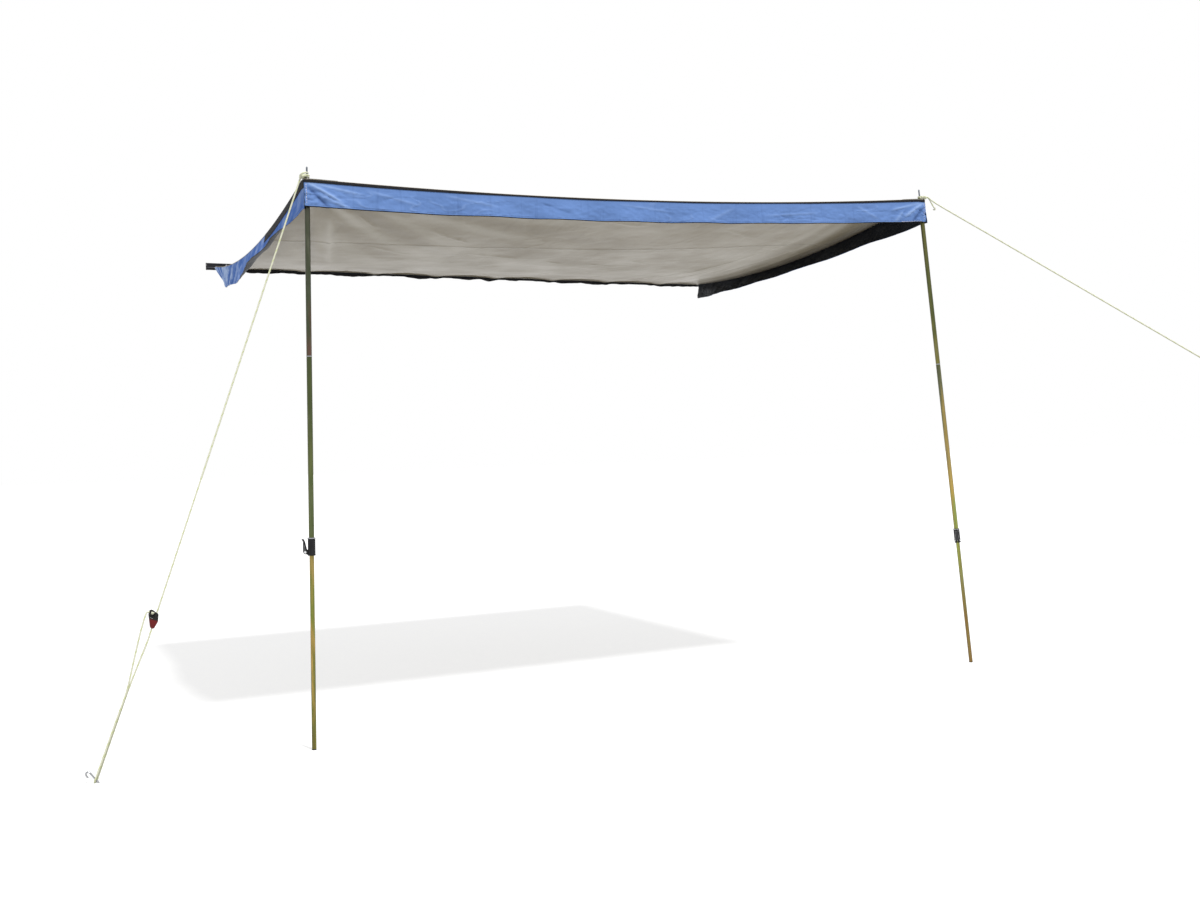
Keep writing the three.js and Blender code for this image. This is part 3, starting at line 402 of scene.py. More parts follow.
# Knots of the guy lines
# The same cord: two turns round the pole's pin, brought back and wrapped three times round the
# line. The right one leaves a loose tail, and its far end is tied into an eye for the next peg.
KNOT_LOOP = 0.0066
KNOT_LIFT = 0.0092
KNOT_RISE = 0.0092
KNOT_LOOP_HEIGHT = 0.0069
KNOT_LOOP_START = -0.35
KNOT_LOOP_TURN = 5.6 + 2 * math.pi
WRAP_RADIUS = 0.0050
WRAP_PITCH = 0.0052
WRAP_START = 0.0098
KNOT_END = 0.0158
KNOT_SPACING = 0.0012
EYE_RADIUS = 0.0146
EYE_START = WRAP_PITCH * 3.5
EYE_WRAP_BACK = 0.003
EYE_RISE = 0.003
EYE_TURN_START = 0.25
EYE_TURN = 5.8
LOOP_STEPS = 14
LEFT_PIN = Vector((-1.312, -1.868, 0.031))
RIGHT_PIN = Vector((1.285, -1.923, 0.109))
left_tail = in_metres([
    (27.0, 6.2, 11.6), (25.0, 12.0, 15.0), (17.0, 16.0, 19.0), (8.0, 16.0, 21.5), (2.0, 15.0, 19.0),
])
right_tail = in_metres([
    (30.0, 6.2, 10.4), (37.6, 8.7, 3.0), (46.6, 11.6, -15.0), (56.6, 12.2, -34.0),
    (60.0, 12.6, -37.5), (60.5, 13.2, -42.0), (57.5, 13.8, -44.0), (53.5, 14.2, -41.0),
])


def wraps(start, height, turns, phase=0.0):
    """A helix of whole turns round a line that runs along X."""
    points = []
    for i in range(round(turns * LOOP_STEPS) + 1):
        y, z = around(WRAP_RADIUS, phase + 2 * math.pi * i / LOOP_STEPS)
        points.append(Vector((start + WRAP_PITCH * i / LOOP_STEPS, y, height + z)))
    return points


def pin_knot(name, pin, route, tail):
    """One cord: from the line in to the pin, twice round it, back out, round the line, and its tail."""
    inward = [(KNOT_END, 0, KNOT_LIFT), (0.0120, 0, KNOT_LIFT), (0.0095, -0.0004, KNOT_LIFT)]
    shares = [i / (2 * LOOP_STEPS) for i in range(2 * LOOP_STEPS + 1)]
    loop = [
        (*around(KNOT_LOOP, KNOT_LOOP_START - KNOT_LOOP_TURN * share), KNOT_LOOP_HEIGHT + KNOT_RISE * share)
        for share in shares
    ]
    outward = (0.0088, 0.0040, KNOT_LIFT + KNOT_RISE * 0.6)
    route_in = [Vector(point) for point in (*inward, *loop, outward)]
    knot = rope(name, along_curve(route_in + wraps(WRAP_START, KNOT_LIFT, 3.0) + tail, KNOT_SPACING))
    to_line = Vector(route[0]) * MILLIMETRE - pin
    knot.matrix_world = Matrix.Translation(pin) @ Matrix.Rotation(math.atan2(to_line.y, to_line.x), 4, "Z")
    return knot


def level_side(way):
    """The level direction square to another one."""
    return Vector((-way.y, way.x, 0.0)).normalized()


left_rope_knot = pin_knot("left_pin_knot", LEFT_PIN, left_points, left_tail)
right_rope_knot = pin_knot("right_pin_knot", RIGHT_PIN, right_route, right_tail)
eye_path = [Vector((0.0003, 0, 0)), Vector((0.006, 0, 0)), Vector((0.012, 0, 0))]
for i in range(LOOP_STEPS + 1):
    x, y = around(EYE_RADIUS, EYE_TURN_START + EYE_TURN * i / LOOP_STEPS)
    eye_path.append(Vector((EYE_START + EYE_RADIUS - x, -y, EYE_RISE * i / LOOP_STEPS)))
eye_path += [
    Vector((EYE_START - EYE_WRAP_BACK - point.x, point.y, point.z)) for point in wraps(0.0, 0.0, 3.0, 0.6)
]
right_rope_end = rope("right_rope_eye", along_curve(eye_path, KNOT_SPACING))
end_ahead = (right_path[-1] - right_path[-4]).normalized()
end_side = level_side(end_ahead)
right_rope_end.matrix_world = placed(right_path[-1], end_ahead, end_side, end_ahead.cross(end_side))
hand_over(left_rope_knot, "left_guy", "left_rope_knot")
hand_over(right_rope_knot, "right_guy", "right_rope_knot")
hand_over(right_rope_end, "right_guy", "right_rope_end")

# Slider of the left line
# A kite-shaped plate moulded in dark red plastic. The line runs down through it on its right side;
# its end comes back from the peg, enters from the left and is knotted in the window.
RUNNER_THICK = 0.009
RUNNER_HOLE = 0.0032
RUNNER_HOLE_ENDS = (-0.01, 0.07)
RUNNER_ROUND = 0.0011
RUNNER_CORNER = 0.0028
ENTRY_HEIGHT = 0.046
ENTRY_END = 0.03
ENTRY_CLEARANCE = 0.0003
WINDOW_X = 0.012
WINDOW_CORNER = 0.0025
WINDOW_SHADE_THICK = 0.0016
WINDOW_SHADE_CORNER = 0.0024
WINDOW_SHADE_SINK = 0.0032
WINDOW_SHADE_SHARE = 0.97
WINDOW_SHADE_SHIFT = (0.0003, 0.0012, 0)
STOPPER_SHARES = (0.55, 0.66)
STOPPER_START = 0.0096
STOPPER_TURNS = 2.2
STOPPER_ROPE_SHARE = 0.86
# Below these heights the plate is red, and above them black; with the plate in the window, this is painted
# shade for the dark seen through the window
RED_BORDER = (0.0235, 0.0275)
STUB_PLACES = (0.0247, 0.019, 0.0085)
CORNER_STEPS = 5
BORE_SIDES = 24
BEVEL_ANGLE = 40.0
SHARP_ANGLE = 35.0
GRAIN_SIZE = 2500.0
GRAIN_DEPTH = 0.00012
runner_outline = in_metres([
    (-5.5, 0, 0), (5.5, 0, 0), (23, 38.5, 0), (23.5, 52, 0), (17.5, 56, 0), (-5.5, 47, 0), (-11, 23.5, 0),
])
window_outline = in_metres([(4.6, 29, 0), (18, 31, 0), (18.4, 50.7, 0), (5.4, 46.6, 0)])


def rounded(corners, radius):
    """Corners of a flat outline turned into short curves."""
    smooth = []
    for i, here in enumerate(corners):
        enter = here + (corners[i - 1] - here).normalized() * radius
        leave = here + (corners[(i + 1) % len(corners)] - here).normalized() * radius
        for step in range(CORNER_STEPS + 1):
            t = step / CORNER_STEPS
            smooth.append(enter.lerp(here, t).lerp(here.lerp(leave, t), t))
    return smooth


def slab(name, outline, thick):
    """A closed plate: an outline drawn in X and up, with its thickness along Y."""
    count = len(outline)
    points = [Vector((p.x, y, p.y)) for y in (-thick / 2, thick / 2) for p in outline]
    faces = [tuple(range(count)), tuple(reversed(range(count, 2 * count)))]
    for i in range(count):
        after = (i + 1) % count
        faces.append((i, i + count, after + count, after))
    return add_mesh(name, points, faces, smooth=False)


def bar_between(name, start, end, radius):
    """A round bar that cuts a bore."""
    return add_mesh(name, *swept([start, start.lerp(end, 0.5), end], radius, BORE_SIDES))


def settle(piece):
    """Applies what the modifiers of a piece do to its mesh."""
    bpy.context.view_layer.update()
    made = bpy.data.meshes.new_from_object(piece.evaluated_get(bpy.context.evaluated_depsgraph_get()))
    piece.modifiers.clear()
    piece.data = made


def combine(piece, other, operation="DIFFERENCE"):
    """Cuts one closed mesh out of a piece, or joins it on, and removes it."""
    boolean = piece.modifiers.new("combine", "BOOLEAN")
    boolean.operation = operation
    boolean.solver = "EXACT"
    boolean.object = other
    settle(piece)
    bpy.data.objects.remove(other)


def add_round_edges(piece, width, segments, angle):
    bevel = piece.modifiers.new("round_edges", "BEVEL")
    bevel.width = width
    bevel.segments = segments
    bevel.limit_method = "ANGLE"
    bevel.angle_limit = math.radians(angle)


def smooth_sharp(piece, angle=SHARP_ANGLE):
    """Smooth shading that stops at edges sharper than the angle."""
    mesh = piece.data
    mesh.polygons.foreach_set("use_smooth", [True] * len(mesh.polygons))
    mesh.set_sharp_from_angle(angle=math.radians(angle))


def coat(piece, finish):
    piece.data.materials.clear()
    piece.data.materials.append(finish)


def mould(piece, finish, edge, segments):
    """Rounds the edges of a plate or sleeve cut from closed meshes, and gives it its finish."""
    add_round_edges(piece, edge, segments, BEVEL_ANGLE)
    settle(piece)
    smooth_sharp(piece)
    coat(piece, finish)


def drawn_out(tree, vector, scale, turn=(0.0, 0.0, 0.0)):
    """Coordinates with a scale for each axis: a pattern on them is long where the scale is small."""
    node = new_node(tree, "ShaderNodeMapping")
    return feed(tree, node, Vector=vector, Rotation=turn, Scale=scale).outputs[0]


def grain_group():
    """Fine moulded or blasted grain and a few long scuffs."""
    tree, start, end = new_group("grain", {"Vector": (0.0, 0.0, 0.0), "Grain": GRAIN_SIZE, "Scuffs": 60.0},
                                 ("Height", "Scuff"))
    stretched = drawn_out(tree, start["Vector"], (1.0, 9.0, 1.0), (0.4, 0.9, 0.3))
    scuff = spread(tree, noise_node(tree, stretched, start["Scuffs"], 5.0, 0.7), 0.58, 0.72)
    feed(tree, end, Height=noise_node(tree, start["Vector"], start["Grain"], 2.0), Scuff=scuff)
    return tree


grain = grain_group()


def moulded(name, colour, scuffed, roughness, gloss, upper=None, border=(0.0, 0.0)):
    """Moulded plastic: fine grain, paler and rougher where it has been rubbed. A second colour
    takes over above the two heights of a soft border."""
    finish, tree, shader = new_finish(name, colour, roughness, Specular_IOR_Level=gloss)
    spot = new_node(tree, "ShaderNodeTexCoord").outputs["Object"]
    marks = place_group(tree, grain, Vector=spot)
    cloudy = spread(tree, noise_node(tree, spot, 25.0, 4.0), 0.35, 0.7)
    tone = mix_colours(tree, cloudy, colour, tuple(channel * 1.35 for channel in colour))
    tone = mix_colours(tree, marks["Scuff"], tone, scuffed)
    if upper:
        height = feed(tree, new_node(tree, "ShaderNodeSeparateXYZ"), Vector=spot).outputs["Z"]
        tone = mix_colours(tree, spread(tree, height, *border), tone, upper)
    rough = spread(tree, marks["Scuff"], 0.0, 1.0, roughness, roughness + 0.2)
    feed(tree, shader, Base_Color=tone, Roughness=rough)
    add_bump(tree, shader, marks["Height"], GRAIN_DEPTH, 0.5)
    return finish


red_plastic = moulded("dark_red_plastic", (0.115, 0.006, 0.006), (0.18, 0.03, 0.028), 0.4, 0.25,
                      upper=(0.007, 0.006, 0.006), border=RED_BORDER)

line_top, line_exit = in_metres([left_line_top, left_line_exit])
line_up = (line_top - line_exit).normalized()
runner_front = -level_side(line_up)
runner_place = placed(line_exit, runner_front.cross(line_up), runner_front, line_up)
left_runner = slab("left_slider_plate", rounded(runner_outline, RUNNER_CORNER), RUNNER_THICK)
combine(left_runner, slab("window_cutter", rounded(window_outline, WINDOW_CORNER), 2 * RUNNER_THICK))
hole_ends = [Vector((0, 0, height)) for height in RUNNER_HOLE_ENDS]
combine(left_runner, bar_between("line_cutter", *hole_ends, RUNNER_HOLE))
combine(left_runner, bar_between("entry_cutter", Vector((WINDOW_X, 0, ENTRY_HEIGHT)),
                                 Vector((ENTRY_END, 0, ENTRY_HEIGHT)), ROPE_RADIUS + ENTRY_CLEARANCE))
mould(left_runner, red_plastic, RUNNER_ROUND, 3)

# A thin black plate sunk in the window fills it: painted shade for the dark seen through the window.
window_shade_outline = [point * WINDOW_SHADE_SHARE + Vector(WINDOW_SHADE_SHIFT) for point in window_outline]
window_shade_plate = slab("left_slider_window_shade", rounded(window_shade_outline, WINDOW_SHADE_CORNER), WINDOW_SHADE_THICK)
window_shade_plate.data.transform(Matrix.Translation((0, -WINDOW_SHADE_SINK, 0)))
coat(window_shade_plate, red_plastic)
stub = swept([Vector((x, 0, ENTRY_HEIGHT)) for x in STUB_PLACES], ROPE_RADIUS, BRAID_SIDES)
long_share, round_share = STOPPER_SHARES
lump_path = along_curve([
    Vector((STOPPER_START + p.x * long_share, p.y * round_share, ENTRY_HEIGHT + p.z * round_share))
    for p in wraps(0.0, 0.0, STOPPER_TURNS)
], KNOT_SPACING)
lump = swept(lump_path, ROPE_RADIUS * STOPPER_ROPE_SHARE, BRAID_SIDES, BRAID_RELIEF)
left_end_knot = add_mesh("left_stopper_knot", *gathered([stub, lump]), finish=rope_finish)
for piece, slot, cad_node in (
    (left_runner, "red_plastic", "left_runner"), (window_shade_plate, "red_plastic", None),
    (left_end_knot, "rope", "left_end_knot"),
):
    piece.matrix_world = runner_place
    hand_over(piece, "left_slider", cad_node)


# Ground peg of the left line
# Round zinc-plated steel bar, bent over into a hook at the top and pointed below. It is driven in
# leaning away from the pull, so that only its hook and the cord's turn show above the ground.
PEG_RADIUS = 0.003
PEG_LEAN = math.radians(40)
PEG_HOOK = 0.007
PEG_BEND = 0.029
PEG_SHAFT = 0.138
PEG_TIP = 0.150
PEG_MIDDLE = 0.07
PEG_HOOK_END = 0.008
PEG_CLEARANCE = 0.0003
PEG_TIP_OVERLAP = 0.0004
PEG_SPACING = 0.0025
PEG_SIDES = 20
HOOK_STEPS = 8
DARKER = 0.72


def metal(name, colour, roughness, streak_scale, wear_and_highlight=(0.62, 0.6, 0.57), depth=0.00004):
    """Plated or brushed metal: streaks along the bar, cloudy tone and dull spots."""
    finish, tree, shader = new_finish(name, colour, roughness, 1.0)
    spot = new_node(tree, "ShaderNodeTexCoord").outputs["Object"]
    streak = noise_node(tree, drawn_out(tree, spot, streak_scale), 40.0, 6.0, 0.65)
    cloud = spread(tree, noise_node(tree, spot, 18.0, 3.0), 0.3, 0.75)
    tone = mix_colours(tree, cloud, tuple(channel * DARKER for channel in colour), colour)
    tone = mix_colours(tree, spread(tree, streak, 0.55, 0.8), tone, wear_and_highlight)
    rough = spread(tree, streak, 0.3, 0.7, roughness * 0.75, roughness * 1.45)
    feed(tree, shader, Base_Color=tone, Roughness=rough)
    add_bump(tree, shader, streak, depth, 0.6)
    return finish


bright_steel = metal("zinc_plated_steel", (0.42, 0.43, 0.45), 0.24, (6.0, 6.0, 0.6))
near, bottom, far = in_metres([left_route_end[5], left_route_end[9], left_route_end[13]])
inward = ((near + far) / 2 - bottom).normalized()
away = level_side(near - far)
peg_up = away * math.sin(PEG_LEAN) + Vector((0, 0, math.cos(PEG_LEAN)))
peg_across = math.sqrt(1 - peg_up.dot(inward) ** 2)
peg_spot = bottom + inward * ((ROPE_RADIUS + PEG_CLEARANCE + PEG_RADIUS) / peg_across)
peg_side = peg_up.cross(away).normalized()
hook_path = [Vector((0, 0, height)) for height in (-PEG_SHAFT, -PEG_MIDDLE, 0, PEG_BEND - PEG_HOOK)]
for i in range(HOOK_STEPS + 1):
    x, z = around(PEG_HOOK, math.pi * (1 - i / HOOK_STEPS))
    hook_path.append(Vector((PEG_HOOK + x, 0, PEG_BEND + z)))
hook_path.append(Vector((2 * PEG_HOOK, 0, PEG_BEND - PEG_HOOK_END)))
peg_bar = swept(along_curve(hook_path, PEG_SPACING), PEG_RADIUS, PEG_SIDES)
tip_points = [Vector((0, 0, -PEG_TIP))] + [
    Vector((*around(PEG_RADIUS, 2 * math.pi * k / PEG_SIDES), -PEG_SHAFT + PEG_TIP_OVERLAP))
    for k in range(PEG_SIDES)
]
tip_faces = [(0, 1 + (k + 1) % PEG_SIDES, 1 + k) for k in range(PEG_SIDES)]
tip_faces.append(tuple(range(1, 1 + PEG_SIDES)))
peg_tip = (tip_points, tip_faces, [(0.0, 0.0)] * (4 * PEG_SIDES))
left_peg = add_mesh("left_peg_hook", *gathered([peg_bar, peg_tip]), finish=bright_steel)
left_peg.matrix_world = placed(peg_spot, peg_side.cross(peg_up), peg_side, peg_up)
hand_over(left_peg, "left_guy", "left_ground_peg")

# Keder rail
# A black anodised aluminium extrusion screwed flat to the wall that carries it: a flange, a round
# channel split along its front and a small drip lip. Extrusion lines run along it.
RAIL_EDGE = 0.0004
SMOOTH_ANGLE = 35.0
DRESS_ANGLE = 30.0


def smooth_by_angle(angle):
    """A geometry group that shades faces smooth except across edges sharper than the angle."""
    tree = bpy.data.node_groups.new("smooth_by_angle", "GeometryNodeTree")
    for way in ("INPUT", "OUTPUT"):
        tree.interface.new_socket("Geometry", in_out=way, socket_type="NodeSocketGeometry")
    bend = new_node(tree, "GeometryNodeInputMeshEdgeAngle").outputs["Unsigned Angle"]
    flat = feed(tree, new_node(tree, "FunctionNodeCompare", data_type="FLOAT", operation="LESS_EQUAL"),
                A=bend, B=math.radians(angle))
    faces = feed(tree, new_node(tree, "GeometryNodeSetShadeSmooth", domain="FACE"),
                 Geometry=new_node(tree, "NodeGroupInput").outputs["Geometry"])
    edges = feed(tree, new_node(tree, "GeometryNodeSetShadeSmooth", domain="EDGE"),
                 Geometry=faces.outputs["Geometry"], Shade_Smooth=flat.outputs["Result"])
    feed(tree, new_node(tree, "NodeGroupOutput"), Geometry=edges.outputs["Geometry"])
    return tree


smoothing = smooth_by_angle(SMOOTH_ANGLE)


def dress(node_name, finish, edge):
    """Gives a CAD node its material, rounded edges and smooth shading."""
    piece = nodes[node_name]
    coat(piece, finish)
    add_round_edges(piece, edge, 2, DRESS_ANGLE)
    piece.modifiers.new("smooth", "NODES").node_group = smoothing


black_aluminium = metal("black_anodised_aluminium", (0.035, 0.035, 0.04), 0.42, (0.15, 14.0, 14.0),
                        wear_and_highlight=(0.09, 0.09, 0.095), depth=0.00006)
dress("awning_rail", black_aluminium, RAIL_EDGE)

# Rail screws
# Six countersunk stainless screws in the flange, hidden behind the roof's rear edge in use. Their
# recesses are pressed and the heads are turned.
SCREW_COUNT = 6
SCREW_EDGE = 0.0002
for number in range(1, SCREW_COUNT + 1):
    dress(f"rail_screw_{number}", bright_steel, SCREW_EDGE)

# Rail end caps
# Plates moulded in black plastic, one for each end of the rail. Each has a plug that is pushed into
# the channel.
CAP_EDGE = 0.0006
black_plastic = moulded("black_plastic", (0.008, 0.008, 0.009), (0.05, 0.05, 0.05), 0.42, 0.2)
for side in ("left", "right"):
    dress(f"rail_cap_{side}", black_plastic, CAP_EDGE)

# Keder strip
# A bead of coated cord welded into a flap of ribbed black fabric that is slid into the rail; the
# roof's rear hem is sewn to the flap.
keder_finish, keder_tree, keder_shader = new_finish("ribbed_keder_fabric", (0.03, 0.03, 0.033), 0.7)
keder_spot = new_node(keder_tree, "ShaderNodeTexCoord").outputs["Object"]
keder_wave = new_node(keder_tree, "ShaderNodeTexWave", wave_type="BANDS", bands_direction="X")
keder_ribs = feed(keder_tree, keder_wave, Vector=keder_spot, Scale=190.0, Distortion=0.6)
keder_dust = spread(keder_tree, noise_node(keder_tree, keder_spot, 14.0, 5.0), 0.45, 0.75)
feed(keder_tree, keder_shader,
     Base_Color=mix_colours(keder_tree, keder_dust, (0.02, 0.02, 0.023), (0.075, 0.075, 0.072)))
add_bump(keder_tree, keder_shader, keder_ribs.outputs["Fac"], 0.00025, 0.7)
dress("keder_strip", keder_finish, RAIL_EDGE)

# Canopy roof
# One sheet of coated polyester, charcoal above and grey-brown below, hung between the rail and the
# two pole eyelets. It sags, its side edges curve in, and it keeps soft storage creases and pulls.
KEDER_HALF = 1.320
REAR_Y = -0.0197
LEFT_CORNER = (-1.326, -1.882, 0.031)
RIGHT_CORNER = (1.299, -1.937, 0.109)
ROOF_WIDTH = RIGHT_CORNER[0] - LEFT_CORNER[0]
ROOF_REACH = REAR_Y - LEFT_CORNER[1]
HEM = 0.040
PATCH = 0.115
SIDE_SAG = (0.085, 0.066)
FRONT_SAG = 0.036
SIDE_DRAW = (0.010, 0.014)
FRONT_DRAW = 0.010
FOLD_HEIGHT = 0.006
FOLD_RANGE = 0.620
FOLD_WAVES = 6
ROOF_COLUMNS = 300
ROOF_ROWS = 212
CLOTH_HALF = 0.0006
HEM_HALF = 0.0009
HEM_STEP = 0.004
SEAM_HALF = 0.0017
SEAM_WIDTH = 0.014
SEAM_STEP = 0.005
# Creases in shares of the roof across and out: both ends, height and half width in millimetres
CREASE_SHARES = [
    (0.84, 0.25, 0.90, 0.73, 2.6, 11), (0.90, 0.28, 0.95, 0.70, 2.2, 9), (0.955, 0.30, 0.975, 0.72, 1.8, 8),
    (0.80, 0.10, 0.845, 0.34, 1.6, 8), (0.865, 0.12, 0.895, 0.40, 1.8, 7), (0.925, 0.14, 0.935, 0.44, 1.6, 7),
    (0.037, 0.84, 0.114, 0.374, -3.4, 20), (0.060, 0.846, 0.142, 0.382, 3.2, 17),
    (0.060, 0.846, 0.095, 0.769, 2.2, 8), (0.105, 0.832, 0.148, 0.759, 2.2, 8),
    (0.020, 0.955, 0.062, 0.860, 2.0, 6), (0.034, 0.975, 0.130, 0.905, 1.9, 6),
    (0.238, 0.746, 0.312, 0.662, 2.0, 10), (0.505, 0.47, 0.545, 0.44, 1.6, 9),
    (0.600, 0.44, 0.640, 0.415, 1.6, 9), (0.660, 0.50, 0.700, 0.455, 1.7, 10),
    (0.965, 0.955, 0.900, 0.850, 2.2, 7), (0.950, 0.975, 0.830, 0.900, 1.8, 7),
    (0.985, 0.940, 0.960, 0.790, 1.8, 7), (0.30, 0.06, 0.315, 0.22, 1.7, 10),
    (0.46, 0.05, 0.470, 0.20, 1.9, 12), (0.585, 0.05, 0.580, 0.24, 1.8, 11),
    (0.70, 0.05, 0.705, 0.21, 2.0, 12), (0.80, 0.06, 0.812, 0.26, 1.9, 11),
    (0.20, 0.05, 0.212, 0.19, 1.7, 10), (0.10, 0.05, 0.125, 0.22, 1.8, 11),
    (0.89, 0.05, 0.885, 0.20, 1.7, 10), (0.38, 0.05, 0.372, 0.16, 1.5, 9),
    (0.34, 0.55, 0.46, 0.50, 1.3, 13), (0.17, 0.60, 0.245, 0.52, 1.5, 12),
    (0.72, 0.80, 0.80, 0.74, 1.5, 11), (0.44, 0.86, 0.56, 0.83, 1.3, 13),
]
CREASE_TALL = -2.3
CREASE_NARROW = 0.8
CREASE_FADE = 0.4
CREASE_CUTOFF = 3.2
WEB_HEIGHT = 0.0013
SOFT_HEIGHT = 0.0016
FINE_HEIGHT = 0.0003
# How high a crease is that gets strong painted light: a fold bulging down is painted pale, partly as a rubbed
# coating, and one bulging up is painted dark
MARK_HEIGHT = 0.0062
# Bands of painted highlight beside the rear edge and the right one: how far in each lies, and its half width
REAR_BAND = (0.030, 0.016)
RIGHT_BAND = (0.034, 0.012)
# Places along the rear edge, in shares, where the hem stands up between the pulls, and their millimetres
REAR_LUMPS_SHARES = [
    (0.045, 4), (0.105, -3), (0.16, 4.5), (0.22, -3), (0.29, 4), (0.345, -2.5), (0.41, 4.5), (0.475, -3),
    (0.53, 4), (0.60, -3.5), (0.655, 4.5), (0.715, -2.5), (0.775, 4), (0.84, -3), (0.90, 4.5), (0.955, -3),
]
REAR_LUMP_TALL = -1.9
REAR_LUMP_WIDTH = 0.045
REAR_LUMP_REACH = 0.16


def clamped(value):
    return min(1.0, max(0.0, value))


def between(low, high, share):
    return low + (high - low) * share


def eased(value):
    """A value from 0 to 1, slowed at both of its ends."""
    value = clamped(value)
    return value * value * (3 - 2 * value)


def along_table(table, at):
    """Smooth values between evenly spaced entries."""
    spot = clamped(at) * (len(table) - 1)
    index = min(int(spot), len(table) - 2)
    return between(table[index], table[index + 1], eased(spot - index))


def waves(x, y, z):
    """Smooth noise from about -1 to 1."""
    return noise.noise(Vector((x, y, z)))


def crumples(x, y, z, calm, finer=2.0, sizes=3):
    """Noise in several sizes at once, each finer than the one before and lower by how calm it is."""
    return noise.fractal(Vector((x, y, z)), calm, finer, sizes)


def held_share(at, length):
    """A share of the cloth between its two hems, which stay flat."""
    hem = HEM / length
    return clamped((at - hem) / (1 - 2 * hem))


def tension_fold(from_x, from_y):
    """Folds that fan out from a corner that is pulled."""
    reach = math.hypot(from_x, from_y)
    start = clamped((reach - 1.5 * PATCH) / (2 * PATCH))
    fan = math.sin(FOLD_WAVES * math.atan2(from_x, from_y))
    return FOLD_HEIGHT * start * math.exp(-reach / FOLD_RANGE) * fan


def laid_out(shares, width, depth, taller, wider=1.0):
    """Creases given in shares and millimetres, as lines on the flat cloth in metres."""
    return [
        (Vector((a0 * width, d0 * depth)), Vector((a1 * width, d1 * depth)),
         tall * MILLIMETRE * taller, wide * MILLIMETRE * wider)
        for a0, d0, a1, d1, tall, wide in shares
    ]


def crease_height(lines, x, y, overrun, sharp, wander=0.0):
    """Sharp-topped ridges and valleys at a spot of the flat cloth, each faded at both of its ends."""
    total = 0.0
    here = Vector((x, y))
    for start, end, tall, wide in lines:
        line = end - start
        along = (here - start).dot(line) / line.length_squared
        if -overrun < along < 1 + overrun:
            offside = (here - start).cross(line) / line.length / wide
            if wander:
                offside += wander * waves(along * 3.0, tall * 900, 0.5)
            if abs(offside) < CREASE_CUTOFF:
                fade = eased((along + overrun) / CREASE_FADE) * eased((1 + overrun - along) / CREASE_FADE)
                total += tall * fade * math.exp(-abs(offside) ** sharp)
    return total


roof_creases = laid_out(CREASE_SHARES, ROOF_WIDTH, ROOF_REACH, CREASE_TALL, CREASE_NARROW)


def roof_crease(across, out):
    return crease_height(roof_creases, across * ROOF_WIDTH, out * ROOF_REACH, 0.15, 1.35, wander=1.1)


def crease_web(x, y, seed, width):
    """A net of fine wandering creases, broken up so that only parts of its lines show."""
    line = clamped(1 - abs(waves(x, y, seed)) / width) ** 2
    return line * clamped(2.2 * waves(x * 0.45, y * 0.45, seed + 7.7) + 0.25)


def roof_web(across, out):
    x, y = across * ROOF_WIDTH, out * ROOF_REACH
    first = crease_web(x * 4.2 + y * 1.3, y * 5.0 - x * 0.9, 1.1, 0.05)
    return first - 0.8 * crease_web(x * 6.5 - y * 3.1, y * 3.4 + x * 1.7, 5.3, 0.05)


def roof_sheen(across, out):
    """Painted sheen: soft pale and dark streaks that fan out from the front left corner, and painted light
    beside the right edge, against the shade of the black valance there.
    """
    x, y = across * ROOF_WIDTH, (1 - out) * ROOF_REACH
    reach = math.hypot(x, y)
    fan = waves(math.atan2(y, x) * 9.0, reach * 0.9, 2.2)
    beside = math.exp(-((1 - across) * ROOF_WIDTH / 0.30) ** 2)
    streak = waves(across * 46.0 + out * 2.0, out * 2.6, 7.1)
    return 3.6 * fan * math.exp(-reach / 0.9) * clamped(reach / 0.15) + beside * (0.6 + 2.2 * streak)


def in_band(depth, middle, half):
    """1 in the middle of a band, 0 from its edges outwards."""
    return clamped(1 - abs(depth - middle) / half)


def roof_mark(i, j):
    """Painted highlight and shade: pale lines on folds that bulge down, partly a rubbed coating, dark ones on
    folds that rise, painted sheen, and painted highlights along the rear and right hems.
    """
    across, out = i / ROOF_COLUMNS, j / ROOF_ROWS
    mark = 0.50 * roof_web(across, out) - roof_crease(across, out) / MARK_HEIGHT + roof_sheen(across, out)
    rear = in_band(out * ROOF_REACH, *REAR_BAND)
    wave = clamped(0.55 + 1.6 * waves(across * 30.0, 4.4, 0.0))
    right = in_band((1 - across) * ROOF_WIDTH, *RIGHT_BAND)
    return mark + 0.9 * rear * wave + 0.55 * right * clamped(0.4 + 1.5 * waves(out * 9.0, 8.8, 0.0))


def seam_line(across):
    """Where the seam between the roof's two panels lies, as a share out from the rail."""
    return 0.625 + 0.055 * eased((across - 0.55) / 0.4)


def rear_lump(across, out):
    """The lumps of the rear hem, which die out towards the middle of the roof."""
    depth = out * ROOF_REACH
    if depth > 3 * REAR_LUMP_REACH:
        return 0.0
    wave = sum(
        tall * math.exp(-((across - place) * ROOF_WIDTH / REAR_LUMP_WIDTH) ** 2)
        for place, tall in REAR_LUMPS_SHARES if abs(across - place) < 0.08
    )
    return MILLIMETRE * REAR_LUMP_TALL * wave * eased(depth / 0.02) * math.exp(-depth / REAR_LUMP_REACH)


